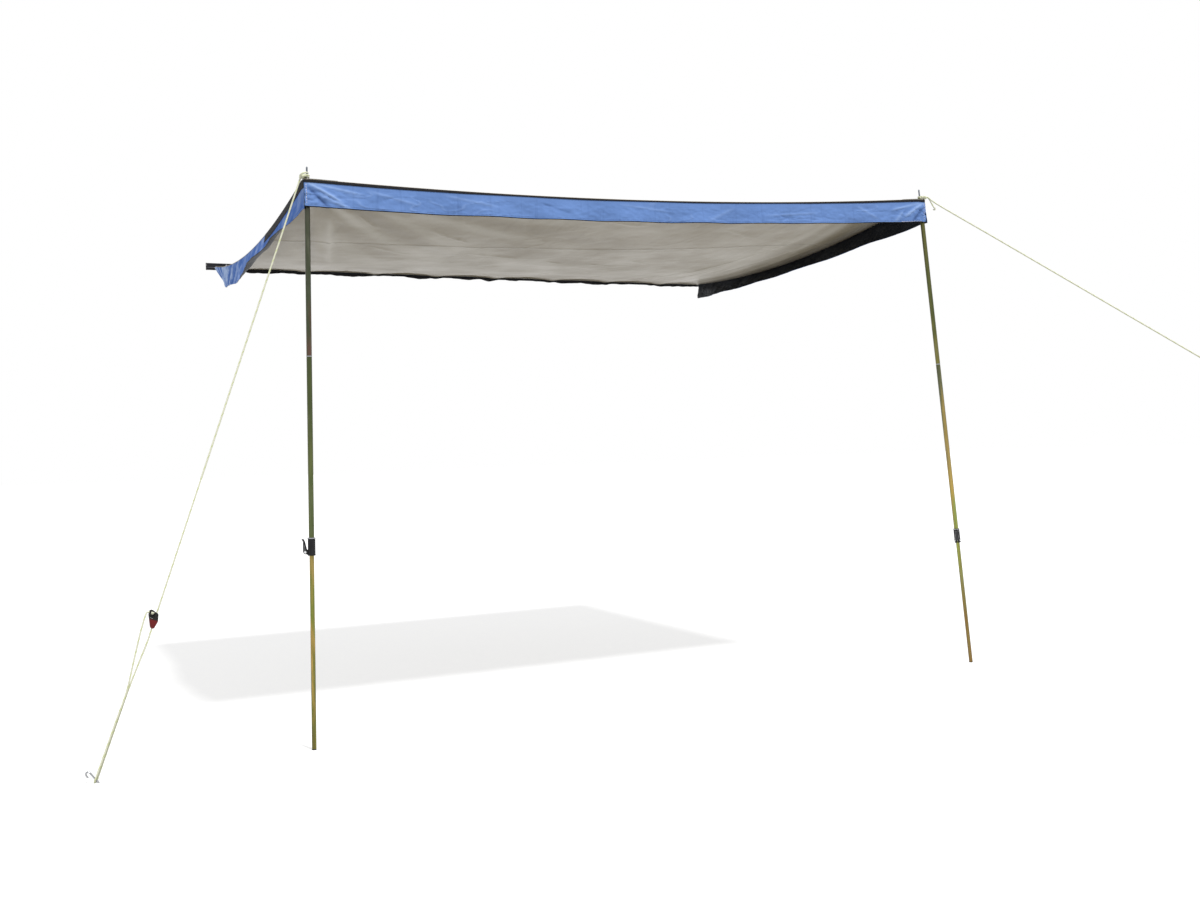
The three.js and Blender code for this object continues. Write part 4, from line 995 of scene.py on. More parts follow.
def roof_point(across, out):
    """A spot of the roof's middle surface, in shares across from the left and out from the rail."""
    a = held_share(across, ROOF_WIDTH)
    o = held_share(out, ROOF_REACH)
    bow = 4 * o * (1 - o)
    wide = 4 * a * (1 - a)
    x = between(between(-KEDER_HALF, LEFT_CORNER[0], out), between(KEDER_HALF, RIGHT_CORNER[0], out), across)
    x -= bow * between(*SIDE_DRAW, a)
    y = between(REAR_Y, between(LEFT_CORNER[1], RIGHT_CORNER[1], across), out) + FRONT_DRAW * wide * o ** 2
    z = o * between(LEFT_CORNER[2], RIGHT_CORNER[2], a)
    z -= bow * between(*SIDE_SAG, a) + FRONT_SAG * wide * o ** 2
    right, front = (1 - a) * ROOF_WIDTH, (1 - o) * ROOF_REACH
    folds = tension_fold(a * ROOF_WIDTH, front) + tension_fold(right, front)
    z += min(1.0, wide * bow) * (folds + tension_fold(right, o * ROOF_REACH))
    flat_x, flat_y = across * ROOF_WIDTH, out * ROOF_REACH
    soft = SOFT_HEIGHT * crumples(flat_x * 4.0, flat_y * 6.0, 3.7, 0.6)
    soft += FINE_HEIGHT * waves(flat_x * 26.0, flat_y * 19.0, 8.1)
    free = clamped(6 * min(across, 1 - across, out, 1 - out) + 0.04)
    z += free * (roof_crease(across, out) + WEB_HEIGHT * roof_web(across, out) + soft)
    z += rear_lump(across, out) * clamped(20 * min(across, 1 - across))
    return Vector((x, y, z))


def thick_sheet(name, grid, half_at, uv_at, outer, inner, turned_rows=0, mark_at=None):
    """A closed cloth from a grid of middle points; turned_rows at the hem show the outer
    finish on both faces, and mark_at gives each point its painted highlight above 0 and painted shade below
    0."""
    columns, rows = len(grid), len(grid[0])
    tops, lows = [], []
    for i in range(columns):
        for j in range(rows):
            side = grid[min(i + 1, columns - 1)][j] - grid[max(i - 1, 0)][j]
            down = grid[i][min(j + 1, rows - 1)] - grid[i][max(j - 1, 0)]
            out = side.cross(down).normalized() * half_at(i, j)
            tops.append(grid[i][j] + out)
            lows.append(grid[i][j] - out)
    count = columns * rows
    faces, corners, kinds = [], [], []

    def quad(spots, lower, kind):
        faces.append(tuple(i * rows + j + (count if low else 0) for (i, j), low in zip(spots, lower)))
        corners.extend(uv_at(i, j) for i, j in spots)
        kinds.append(kind)

    for i in range(columns - 1):
        for j in range(rows - 1):
            quad(((i, j), (i + 1, j), (i + 1, j + 1), (i, j + 1)), (False,) * 4, 0)
            quad(((i, j), (i, j + 1), (i + 1, j + 1), (i + 1, j)), (True,) * 4,
                 0 if j >= rows - 1 - turned_rows else 1)
    rim = [(i, 0) for i in range(columns)] + [(columns - 1, j) for j in range(1, rows)]
    rim += [(i, rows - 1) for i in range(columns - 2, -1, -1)] + [(0, j) for j in range(rows - 2, 0, -1)]
    for here, after in zip(rim, rim[1:] + rim[:1]):
        quad((here, here, after, after), (False, True, True, False), 0)
    piece = add_mesh(name, tops + lows, faces, corners, finish=outer)
    piece.data.materials.append(inner)
    piece.data.polygons.foreach_set("material_index", kinds)
    if mark_at:
        marks = [mark_at(i, j) for i in range(columns) for j in range(rows)]
        piece.data.attributes.new("crease", "FLOAT", "POINT").data.foreach_set("value", marks + marks)
    return piece


def weave_group():
    """Threads that cross over and under: their height, and slightly thicker threads here and there."""
    tree, start, end = new_group("weave", {"UV": (0.0, 0.0, 0.0), "Pitch": 0.0009}, ("Height", "Slub"))
    parts = feed(tree, new_node(tree, "ShaderNodeSeparateXYZ"), Vector=start["UV"]).outputs
    counts = [math_node(tree, "DIVIDE", parts[axis], start["Pitch"]) for axis in ("X", "Y")]
    cells = math_node(tree, "ADD", *[math_node(tree, "FLOOR", count) for count in counts])
    odd = math_node(tree, "MODULO", math_node(tree, "ABSOLUTE", cells), 2.0)
    crests = [
        math_node(tree, "MULTIPLY", math_node(tree, "PINGPONG", count, 0.5), shown)
        for count, shown in zip(counts, (odd, math_node(tree, "SUBTRACT", 1.0, odd)))
    ]
    thick = noise_node(tree, drawn_out(tree, start["UV"], (700.0, 18.0, 1.0)), 1.0, 2.0)
    feed(tree, end, Height=math_node(tree, "ADD", *crests), Slub=spread(tree, thick, 0.55, 0.8))
    return tree


def soil_group():
    """Cloudy patches, long water marks and small specks of dirt, as three masks."""
    tree, start, end = new_group("soil", {"UV": (0.0, 0.0, 0.0)}, ("Cloud", "Run", "Speck"))
    cloud = noise_node(tree, start["UV"], 3.2, 5.0, 0.6)
    run = noise_node(tree, drawn_out(tree, start["UV"], (34.0, 2.4, 1.0)), 1.0, 4.0, 0.6)
    speck = noise_node(tree, start["UV"], 160.0, 3.0, 0.6)
    feed(tree, end, Cloud=spread(tree, cloud, 0.35, 0.7), Run=spread(tree, run, 0.56, 0.74),
         Speck=spread(tree, speck, 0.66, 0.76))
    return tree


def overlaid(tree, tone, *layers):
    """A tone with others laid over it, each where its mask is and as strongly as its share says."""
    for mask, share, colour in layers:
        tone = mix_colours(tree, math_node(tree, "MULTIPLY", mask, share), tone, colour)
    return tone


weave = weave_group()
soil = soil_group()


def cloth_finish(name, colour, clouded, dirt_and_shade, roughness, wear_and_highlight_colour=(0.1, 0.1, 0.1), wear_and_highlight=0.0, gloss=0.25,
                 weave_depth=0.00008):
    """Coated woven cloth: weave, cloudy dye, water marks and specks, a slight sheen, and painted highlight
    and shade from the crease attribute.
    """
    finish, tree, shader = new_finish(name, colour, roughness, Specular_IOR_Level=gloss)
    uv = new_node(tree, "ShaderNodeTexCoord").outputs["UV"]
    threads = place_group(tree, weave, UV=uv)
    marks = place_group(tree, soil, UV=uv)
    marked = new_node(tree, "ShaderNodeAttribute", attribute_type="GEOMETRY", attribute_name="crease")
    crease = marked.outputs["Fac"]
    # Painted highlight where the crease attribute is above 0 and painted shade where it is below 0, the shade
    # in the dirt colour.
    painted_highlight = spread(tree, crease, 0.05, 1.3)
    painted_shade = spread(tree, math_node(tree, "MULTIPLY", crease, -1.0), 0.05, 1.3)
    lighter = tuple(min(1.0, channel * 1.12) for channel in colour)
    tone = overlaid(
        tree, mix_colours(tree, marks["Cloud"], colour, clouded), (marks["Run"], 0.3, dirt_and_shade),
        (marks["Speck"], 0.35, dirt_and_shade), (painted_highlight, wear_and_highlight, wear_and_highlight_colour), (painted_shade, 0.7 * wear_and_highlight, dirt_and_shade),
        (threads["Slub"], 0.4, lighter))
    rough = spread(tree, marks["Cloud"], 0.0, 1.0, roughness - 0.06, roughness + 0.08)
    feed(tree, shader, Base_Color=tone, Roughness=rough)
    add_bump(tree, shader, threads["Height"], weave_depth, 0.5)
    return finish


def roof_half(i, j):
    """Half the roof's thickness: more in the turned hems and in the seam."""
    across, out = i / ROOF_COLUMNS, j / ROOF_ROWS
    edge = min(min(across, 1 - across) * ROOF_WIDTH, min(out, 1 - out) * ROOF_REACH)
    seam = abs(out - seam_line(across)) * ROOF_REACH
    return max(between(HEM_HALF, CLOTH_HALF, eased((edge - HEM) / HEM_STEP)),
               between(SEAM_HALF, CLOTH_HALF, eased((seam - SEAM_WIDTH / 2) / SEAM_STEP)))


# The underside's pale crease colour is painted highlight, partly a rubbed coating, and its dirt colour also
# paints shade in the folds.
roof_under = cloth_finish("grey_brown_cloth", (0.268, 0.230, 0.159), (0.229, 0.194, 0.131),
                          (0.138, 0.112, 0.071), 0.42, (0.46, 0.43, 0.36), 0.7, gloss=0.45)
roof_over = cloth_finish("charcoal_cloth", (0.035, 0.036, 0.040), (0.050, 0.051, 0.054),
                         (0.10, 0.095, 0.085), 0.58, gloss=0.15)
roof_grid = [
    [roof_point(i / ROOF_COLUMNS, j / ROOF_ROWS) for j in range(ROOF_ROWS + 1)]
    for i in range(ROOF_COLUMNS + 1)
]
roof = thick_sheet("sewn_roof", roof_grid, roof_half,
                   lambda i, j: (i / ROOF_COLUMNS * ROOF_WIDTH, j / ROOF_ROWS * ROOF_REACH),
                   roof_under, roof_over, mark_at=roof_mark)
hand_over(roof, "canopy", "canopy_roof")

# Stitching
# Polyester thread, sewn by machine through the cloth: a row along each hem of the roof and two
# along its seam. The stitches are partly sunk into the cloth.
STITCH_PITCH = 0.0052
STITCH_SHARE = 0.62
STITCH_RADIUS = 0.00032
STITCH_SIDES = 6
STITCH_CELLS = 4
STITCH_STEPS = 160
STITCH_SIDE_STEPS = 120
STITCH_MARGIN = 0.003
SEAM_ROWS = (-0.0045, 0.0045)
THREAD_COLOUR = (0.30, 0.28, 0.25)


def thread(name, dark, light):
    """Twisted polyester thread."""
    finish, tree, shader = new_finish(name, THREAD_COLOUR, 0.6)
    spot = new_node(tree, "ShaderNodeTexCoord").outputs["Object"]
    twist = feed(tree, new_node(tree, "ShaderNodeTexWave", wave_type="BANDS", bands_direction="DIAGONAL"),
                 Vector=spot, Scale=900.0)
    add_bump(tree, shader, twist.outputs["Fac"], 0.0001, 0.6)
    shade = spread(tree, noise_node(tree, spot, 30.0, 3.0), 0.3, 0.7)
    feed(tree, shader, Base_Color=mix_colours(tree, shade, dark, light))
    return finish


def stitch_rows(name, lines, finish, pitch=STITCH_PITCH, radius=STITCH_RADIUS):
    """Short straight stitches laid along lines of points, with a gap after each."""
    bars = []
    for line in lines:
        steps = along_curve(line, pitch / STITCH_CELLS)
        for start in range(0, len(steps) - STITCH_CELLS, STITCH_CELLS):
            a, b = steps[start], steps[start + 3].lerp(steps[start + 2], 1 - STITCH_SHARE)
            bars.append(swept([a, a.lerp(b, 0.5), b], radius, STITCH_SIDES))
    return add_mesh(name, *gathered(bars), finish=finish)


def roof_line(spots, drop):
    """Points on the lower face of the roof, given in shares across and out."""
    return [roof_point(across, out) - Vector((0, 0, drop)) for across, out in spots]


def hem_line(start, end, count):
    return roof_line([(between(start[0], end[0], i / count), between(start[1], end[1], i / count))
                      for i in range(count + 1)], HEM_HALF)


low_across, low_out = (HEM - STITCH_MARGIN) / ROOF_WIDTH, (HEM - STITCH_MARGIN) / ROOF_REACH
high_across, high_out = 1 - low_across, 1 - low_out
roof_rows_under = [
    hem_line((low_across, low_out), (high_across, low_out), STITCH_STEPS),
    hem_line((low_across, high_out), (high_across, high_out), STITCH_STEPS),
    hem_line((low_across, low_out), (low_across, high_out), STITCH_SIDE_STEPS),
    hem_line((high_across, low_out), (high_across, high_out), STITCH_SIDE_STEPS),
]
roof_rows_under += [
    roof_line([(i / STITCH_STEPS, seam_line(i / STITCH_STEPS) + row / ROOF_REACH)
               for i in range(2, STITCH_STEPS - 1)], SEAM_HALF)
    for row in SEAM_ROWS
]
thread_finish = thread("sewing_thread", (0.20, 0.19, 0.17), (0.42, 0.40, 0.36))
roof_stitches = stitch_rows("roof_stitches", roof_rows_under, thread_finish)
hand_over(roof_stitches, "canopy")

# Corner patches
# Black webbing-backed patches sewn over both front corners, on top of the hems, where the eyelets
# pull. Each follows the roof's two hems.
PATCH_LIFT = 0.0016
PATCH_HALF = 0.0005
PATCH_CELLS = 30
tape_finish = cloth_finish("black_webbing", (0.013, 0.013, 0.015), (0.022, 0.022, 0.025), (0.06, 0.055, 0.05),
                           0.7, gloss=0.1, weave_depth=0.00022)
patches = {}
for side, low in (("left", 0.0), ("right", 1 - PATCH / ROOF_WIDTH)):
    patch_grid = [
        [roof_point(low + PATCH / ROOF_WIDTH * i / PATCH_CELLS,
                    1 - PATCH / ROOF_REACH * (1 - j / PATCH_CELLS)) + Vector((0, 0, PATCH_LIFT))
         for j in range(PATCH_CELLS + 1)]
        for i in range(PATCH_CELLS + 1)
    ]
    patches[side] = thick_sheet(
        f"{side}_webbing_patch", patch_grid, lambda i, j: PATCH_HALF,
        lambda i, j: (i / PATCH_CELLS * PATCH, j / PATCH_CELLS * PATCH), tape_finish, tape_finish)
    hand_over(patches[side], "canopy", f"corner_patch_{side}")

# Eyelets
# Rings of nickel-plated brass with rolled edges, pressed through roof and patch. The pin of each
# pole stands in one.
EYELET_BORE = 0.0039
EYELET_NECK = 0.0052
EYELET_RIM = 0.0104
EYELET_TOP = 0.0036
EYELET_LOW = 0.0028
EYELET_GRIP = (-0.0013, 0.0024)
EYELET_ROUND = 0.0007
EYELET_LIP = 0.0002
EYELET_SIDES = 40
PROFILE_STEPS = 3
PROFILE_CUT_SHARE = 0.45
TURNED_ANGLE = 32.0
ON_AXIS = 1e-7


def turned(name, profile, finish, sides):
    """A body of revolution about Z from a closed profile of (radius, height)."""
    points, faces, rings = [], [], []
    for radius, height in profile:
        ring_sides = 1 if radius < ON_AXIS else sides
        rings.append(list(range(len(points), len(points) + ring_sides)))
        points += [Vector((*around(radius, 2 * math.pi * k / sides), height)) for k in range(ring_sides)]
    for low, high in zip(rings, rings[1:] + rings[:1]):
        for k in range(sides):
            k2 = (k + 1) % sides
            if len(low) > 1 and len(high) > 1:
                faces.append((low[k], low[k2], high[k2], high[k]))
            elif len(high) > 1:
                faces.append((low[0], high[k2], high[k]))
            elif len(low) > 1:
                faces.append((low[k], low[k2], high[0]))
    piece = add_mesh(name, points, faces, finish=finish)
    smooth_sharp(piece, TURNED_ANGLE)
    return piece


def soft_profile(corners, radius):
    """A closed profile whose corners are cut to short curves, but for those on the axis."""
    count = len(corners)
    profile = []
    for i, here in enumerate(corners):
        here = Vector(here)
        before, after = Vector(corners[i - 1]), Vector(corners[(i + 1) % count])
        if here.x < ON_AXIS:
            profile.append(tuple(here))
            continue
        cut = min(radius, *(PROFILE_CUT_SHARE * (near - here).length for near in (before, after)))
        enter = here + (before - here).normalized() * cut
        leave = here + (after - here).normalized() * cut
        for step in range(PROFILE_STEPS + 1):
            t = step / PROFILE_STEPS
            profile.append(tuple(enter.lerp(here, t).lerp(here.lerp(leave, t), t)))
    return profile


nickel = metal("nickel_plated_brass", (0.60, 0.58, 0.52), 0.26, (4.0, 4.0, 4.0))
grip_low, grip_high = EYELET_GRIP
eyelets = {}
for side, pin in (("left", LEFT_PIN), ("right", RIGHT_PIN)):
    eyelets[side] = turned(f"{side}_pressed_eyelet", soft_profile([
        (EYELET_BORE, -EYELET_LOW), (EYELET_RIM - EYELET_LIP, -EYELET_LOW),
        (EYELET_RIM, grip_low - EYELET_LIP), (EYELET_NECK, grip_low), (EYELET_NECK, grip_high),
        (EYELET_RIM, grip_high + EYELET_LIP / 2), (EYELET_RIM - EYELET_LIP, EYELET_TOP),
        (EYELET_BORE, EYELET_TOP + EYELET_LIP),
    ], EYELET_ROUND), nickel, EYELET_SIDES)
    eyelets[side].location = pin
    hand_over(eyelets[side], "canopy", f"eyelet_{side}")

# Rear binding
# A black coated strip that binds the roof's rear hem to the keder flap. It hangs a little below
# the rail in uneven lumps between the places where the cloth pulls.
BINDING_DEPTH = 0.0135
BINDING_COLUMNS = 520
BINDING_ROWS = 8
BINDING_HALF = 0.0006
BINDING_START_SHARE = 0.0035
BINDING_DROP = 0.0016
BINDING_LEAN = 0.0012
BINDING_SWAY = 0.0022
BINDING_END_SHARE = 0.004


def binding_point(i, j):
    across = between(BINDING_END_SHARE, 1 - BINDING_END_SHARE, i / BINDING_COLUMNS)
    drop = j / BINDING_ROWS
    deeper = 1.0 + 0.6 * crumples(across * 22.0, 0.3, 2.2, 0.7)
    sway = BINDING_SWAY * waves(across * 31.0, drop * 1.4, 5.0) * drop
    return roof_point(across, BINDING_START_SHARE) + Vector(
        (0, sway - BINDING_LEAN * drop, -BINDING_DROP - drop * BINDING_DEPTH * deeper))


binding = thick_sheet(
    "rear_binding",
    [[binding_point(i, j) for j in range(BINDING_ROWS + 1)] for i in range(BINDING_COLUMNS + 1)],
    lambda i, j: BINDING_HALF,
    lambda i, j: (i / BINDING_COLUMNS * ROOF_WIDTH, j / BINDING_ROWS * BINDING_DEPTH),
    tape_finish, tape_finish)
hand_over(binding, "canopy")

# Front valance
# A strip of blue cloth, black inside, sewn under the roof's front edge with its seam hidden by a
# narrow black tape. It hangs in soft waves, pulled and crumpled at both corners, with a sewn hem.
HANG_START = 0.0012
VALANCE_HALF = 0.0006
VALANCE_OFFSET = -0.0008
TAPE_OFFSET = 0.0009
TAPE_HALF = 0.0005
HEM_FOLD = 0.010
HEM_FOLD_STEP = 0.002
PLEAT_POWER = 1.4
HANG_ROWS = 30
CURL_STOPS_SHARES = [(0.0, 0.0), (0.39, 0.0), (0.635, 0.1), (0.825, 0.8), (0.94, 1.0), (1.0, 1.0)]
FRONT_DEPTH = 0.096
FRONT_TAPE = 0.010
FRONT_TAPE_SHARES = [1.0, 1.0, 0.85, 0.6, 0.7, 0.5, 0.6, 0.5, 0.65, 0.8, 0.9]
FRONT_PLEAT = 0.007
FRONT_PLEAT_WAVES = 9
FRONT_COLUMNS = 520
FRONT_CREASE_TALL = 2.0
# The cloth stands off the poles at both corners, so that a pole can swing a degree forward
POLE_ROOM = 0.0035
FRONT_SOFT = 0.0022
FRONT_CRUMPLE = 0.0009
CORNER_CRUMPLE = 0.0050
FRONT_WEB = 0.0019
CORNER_WEB = 0.0026
FRONT_MARK_HEIGHT = 0.0046
HANG_OVERRUN_SHARE = 0.2
HANG_SHARP = 1.4
FRONT_DEPTH_SHARES = [0.96, 0.93, 0.87, 0.86, 0.86, 0.88, 0.93, 1.0]
# Creases in shares along and down the cloth: both ends, then height and half width in millimetres
FRONT_CREASE_SHARES = [
    (0.004, 0.10, 0.046, 0.72, 2.6, 5), (0.006, 0.30, 0.030, 0.95, -2.4, 6),
    (0.010, 0.12, 0.075, 0.42, 1.8, 5), (0.018, 0.55, 0.060, 0.98, 1.6, 6),
    (0.085, 0.25, 0.150, 0.66, 0.9, 6), (0.996, 0.14, 0.962, 0.70, 2.6, 5),
    (0.994, 0.40, 0.975, 0.98, -2.2, 6), (0.988, 0.16, 0.930, 0.46, 1.7, 5),
    (0.955, 0.50, 0.940, 0.98, 1.5, 8), (0.190, 0.20, 0.262, 0.55, 0.9, 6),
    (0.372, 0.72, 0.330, 0.30, -0.8, 6), (0.455, 0.22, 0.530, 0.48, 0.8, 5),
    (0.640, 0.30, 0.600, 0.86, 0.8, 7), (0.700, 0.62, 0.790, 0.50, 0.9, 5),
    (0.868, 0.24, 0.905, 0.80, 0.9, 6),
]
HEM_ROW_LIFT = 0.0005
HEM_ROW_SHARE = 0.9
CORNER_ROW_LIFT = 0.0001
CORNER_ROW_SHARES = (0.0026, 0.9974)
CORNER_STITCH_PITCH = 0.0090
CORNER_STITCH_RADIUS = 0.00085
ROW_STEPS = 12


def curl_share(drop):
    """How much of its curl the cloth has at a share of its depth."""
    for (low, first), (high, second) in zip(CURL_STOPS_SHARES, CURL_STOPS_SHARES[1:]):
        if drop <= high:
            return between(first, second, (drop - low) / (high - low))
    return 1.0


def hanging_column(cloth, at, drops, offset):
    """Points down a hanging cloth at one place along its edge."""
    spot = cloth["edge"](at) - Vector((0, 0, HANG_START))
    outward, depth, lean, curl = cloth["outward"], cloth["depth"](at), cloth["lean"](at), cloth["curl"](at)
    column, previous, swing = [], 0.0, 0.0
    for drop in drops:
        if drop:
            swing = math.radians(lean + curl * curl_share((drop + previous) / 2))
        step = (drop - previous) * depth
        spot = spot + outward * (step * math.sin(swing)) - Vector((0, 0, step * math.cos(swing)))
        push = cloth["pleat"](at) * drop ** PLEAT_POWER + cloth["detail"](at, drop) + offset * math.cos(swing)
        column.append(spot + outward * push + Vector((0, 0, offset * math.sin(swing))))
        previous = drop
    return column


def hanging_cloth(name, cloth, ats, offset, half, outer, inner, lowest=1.0, hem=0.0, turned_rows=0):
    """A cloth down to its lowest share, at an offset from the middle, thicker in its hem."""
    rows = max(4, round(HANG_ROWS * lowest))
    drops = [lowest * j / rows for j in range(rows + 1)]
    grid = [hanging_column(cloth, at, drops, offset) for at in ats]

    def half_at(i, j):
        up = (1.0 - drops[j]) * cloth["depth"](ats[i])
        fold = eased((hem - up) / HEM_FOLD_STEP) if hem else 0.0
        return half * (1 + 0.7 * fold) * (0.55 if j == rows else 1.0)

    return thick_sheet(name, grid, half_at,
                       lambda i, j: (ats[i] * cloth["length"], drops[j] * cloth["depth"](ats[i])),
                       outer, inner, turned_rows, mark_at=lambda i, j: cloth["mark"](ats[i], drops[j]))


def even_shares(low, high, count):
    return [between(low, high, i / count) for i in range(count + 1)]


def hung_line(cloth, ats, drop, offset):
    """A line along a hanging cloth at one depth, just on its outer face."""
    drops = [drop * k / ROW_STEPS for k in range(ROW_STEPS + 1)]
    return [hanging_column(cloth, at, drops, offset)[-1] for at in ats]


front_creases = laid_out(FRONT_CREASE_SHARES, ROOF_WIDTH, FRONT_DEPTH, FRONT_CREASE_TALL)


def from_corner(at, reach):
    """1 at both ends of the front edge, dying out within a share of its length."""
    return math.exp(-min(at, 1 - at) / reach)


def front_crease(at, drop):
    x, z = at * ROOF_WIDTH, drop * FRONT_DEPTH
    web = crease_web(x * 8.0 + z * 14.0, z * 30.0 - x * 2.5, 3.3, 0.10)
    web -= 0.8 * crease_web(x * 6.0 - z * 22.0, z * 24.0 + x * 3.0, 9.1, 0.10)
    lines = crease_height(front_creases, x, z, HANG_OVERRUN_SHARE, HANG_SHARP)
    return lines + (FRONT_WEB + CORNER_WEB * from_corner(at, 0.05)) * web


def front_detail(at, drop):
    corner = from_corner(at, 0.02)
    loose = front_crease(at, drop) + FRONT_SOFT * crumples(at * 34.0, drop * 2.2, 1.3, 0.7)
    loose += (FRONT_CRUMPLE + CORNER_CRUMPLE * corner) * crumples(at * 190.0, drop * 5.5, 6.1, 0.6)
    return eased((drop - 0.12) / 0.3) * (loose + POLE_ROOM * corner)


def front_mark(at, drop):
    """Painted highlight on raised crease lines and painted shade in sunken ones; the painted shade is
    strongest at both corners.
    """
    mark = front_crease(at, drop) / FRONT_MARK_HEIGHT
    return mark * (1 + 1.3 * from_corner(at, 0.03)) if mark < 0 else mark


def pleats(at, deep, count):
    """Waves along an edge that are held flat at both of its ends."""
    return deep * math.sin(2 * math.pi * count * at) * math.sin(math.pi * at)


front_cloth = {
    "edge": lambda at: roof_point(at, 1.0), "outward": Vector((0, -1, 0)), "length": ROOF_WIDTH,
    "depth": lambda at: FRONT_DEPTH * along_table(FRONT_DEPTH_SHARES, at),
    "lean": lambda at: 0.0, "curl": lambda at: 0.0,
    "pleat": lambda at: pleats(at, FRONT_PLEAT, FRONT_PLEAT_WAVES),
    "detail": front_detail, "mark": front_mark,
}
# The pale crease colour of the blue cloth and the black inside is painted highlight, and their dirt colour
# also paints shade in sunken creases.
blue_outside = cloth_finish("blue_cloth", (0.148, 0.258, 0.545), (0.122, 0.220, 0.480),
                            (0.030, 0.065, 0.19), 0.46, (0.33, 0.47, 0.76), 0.85, gloss=0.08)
black_inside = cloth_finish("black_coating", (0.008, 0.010, 0.014), (0.013, 0.015, 0.019),
                            (0.03, 0.03, 0.03), 0.5, (0.05, 0.055, 0.065), 0.6, gloss=0.1)
blue_thread = thread("blue_sewing_thread", (0.03, 0.07, 0.22), (0.05, 0.11, 0.30))
white_thread = thread("white_sewing_thread", (0.62, 0.58, 0.70), (0.86, 0.85, 0.90))
front_ats = even_shares(0.0, 1.0, FRONT_COLUMNS)
# Its lowest row is black on the blue face too: a dark line along the hem, partly the black inside turned
# round it and partly painted shade under the hem.
front_valance = hanging_cloth("front_hanging_cloth", front_cloth, front_ats, VALANCE_OFFSET, VALANCE_HALF,
                              black_inside, blue_outside, hem=HEM_FOLD, turned_rows=1)
tape_cloth = dict(front_cloth, depth=lambda at: front_cloth["depth"](at) * along_table(FRONT_TAPE_SHARES, at))
front_tape = hanging_cloth("front_webbing_tape", tape_cloth, front_ats, TAPE_OFFSET, TAPE_HALF, tape_finish,
                           tape_finish, lowest=FRONT_TAPE / FRONT_DEPTH)
hem_ats = even_shares(0.004, 0.996, 240)
front_stitches = stitch_rows("front_hem_stitches", [
    hung_line(front_cloth, hem_ats, 1 - HEM_ROW_SHARE * HEM_FOLD / FRONT_DEPTH, HEM_ROW_LIFT),
], blue_thread)
corner_rows = [
    hanging_column(front_cloth, at, even_shares(0.0, 1.0, ROW_STEPS), CORNER_ROW_LIFT)[2:ROW_STEPS]
    for at in CORNER_ROW_SHARES
]
corner_rows.append(hung_line(front_cloth, even_shares(0.953, 0.995, 16), 0.955, CORNER_ROW_LIFT))
corner_seams = stitch_rows("front_corner_seams", corner_rows, white_thread, CORNER_STITCH_PITCH,
                           CORNER_STITCH_RADIUS)


def hand_over_valance(side, valance, tape, sewn):
    """A valance hangs from the roof, with its tape and its rows of stitches sewn to it."""
    hand_over(valance, "canopy", f"{side}_valance")
    hand_over(tape, "canopy", f"{side}_edge_tape")
    for row in sewn:
        hand_over(row, "canopy")


hand_over_valance("front", front_valance, front_tape, [front_stitches, corner_seams])

# Side valances
# The same blue cloth along both sides. The left hem has flipped outwards so that its black inside
# shows; the right one is drawn in under the roof. Both are limp and crumpled towards the rail.
SIDE_DEPTH = 0.097
SIDE_TAPE = 0.028
SIDE_TAPE_LENGTH = 0.610
SIDE_PLEAT = 0.005
SIDE_PLEAT_WAVES = 5
SIDE_TAIL = 0.012
SIDE_FRONT_GAP = 0.0023
SIDE_COLUMNS = 330
SIDE_TAPE_COLUMNS = 110
SIDE_ROW_LIFT = 0.0004
SIDE_CREASE_TALL = 0.5
SIDE_SOFT = 0.0020
SIDE_WEB = 0.0030
SIDE_CRUMPLE = 0.0070
# Degrees at even spaces from the rail to the front
LEFT_LEANS = [-30, 0, 10, 12, 8, 0]
LEFT_CURLS = [0, 0, 10, 75, 70, 0]
RIGHT_LEANS = [-5, -32, -40, -38, -27, 8]
RIGHT_CURLS = [0, 0]
LEFT_DEPTH_SHARES = [1.0, 0.9, 1.16, 1.16, 1.0]
RIGHT_DEPTH_SHARES = [0.8, 0.77, 0.8, 0.92, 1.0]
SIDE_CREASE_SHARES = [
    (0.03, 0.20, 0.10, 0.95, 2.8, 7), (0.07, 0.10, 0.19, 0.80, -2.4, 8), (0.14, 0.30, 0.24, 0.98, 2.6, 8),
    (0.22, 0.15, 0.31, 0.90, 2.2, 9), (0.34, 0.25, 0.43, 0.98, 1.8, 9), (0.47, 0.20, 0.52, 0.90, 1.6, 9),
    (0.60, 0.30, 0.57, 0.95, 1.5, 8), (0.72, 0.32, 0.70, 0.96, 1.6, 8), (0.84, 0.32, 0.80, 0.92, 1.6, 7),
    (0.99, 0.32, 0.93, 0.85, 2.2, 6), (0.97, 0.35, 0.955, 0.98, -1.8, 6),
]
side_creases = laid_out(SIDE_CREASE_SHARES, ROOF_REACH, SIDE_DEPTH, SIDE_CREASE_TALL)
# A copy of the blue cloth for the sides, bluer and without gloss so that it looks as the sides do in their
# shade, with strong painted sheen highlights on folds.
side_blue_painted_sheen = cloth_finish("side_blue_cloth_painted_sheen", (0.130, 0.250, 0.640), (0.095, 0.190, 0.530),
                          (0.030, 0.065, 0.200), 0.6, (0.58, 0.73, 1.00), 0.80, gloss=0.0)


def side_loose(at):
    """How limp the cloth is: most at the rail, and little from its middle to the front."""
    return 1 - 0.7 * eased(at / 0.5)


def side_crease(at, drop):
    x, z = at * ROOF_REACH, drop * SIDE_DEPTH
    web = crease_web(x * 10.0 + z * 12.0, z * 26.0 - x * 3.0, 13.3, 0.11)
    return web - 0.8 * crease_web(x * 9.0 - z * 20.0, z * 22.0 + x * 4.0, 19.1, 0.11)


def side_crumple(at, drop):
    """Slanting folds that branch and bend, as limp cloth has."""
    bend = 0.5 * waves(at * 11.0, drop * 1.4, 2.6)
    return crumples(at * 34.0 + drop * 1.7 + bend, drop * 1.5 - at * 9.0 + bend, 4.4, 0.62, 2.1, 4)


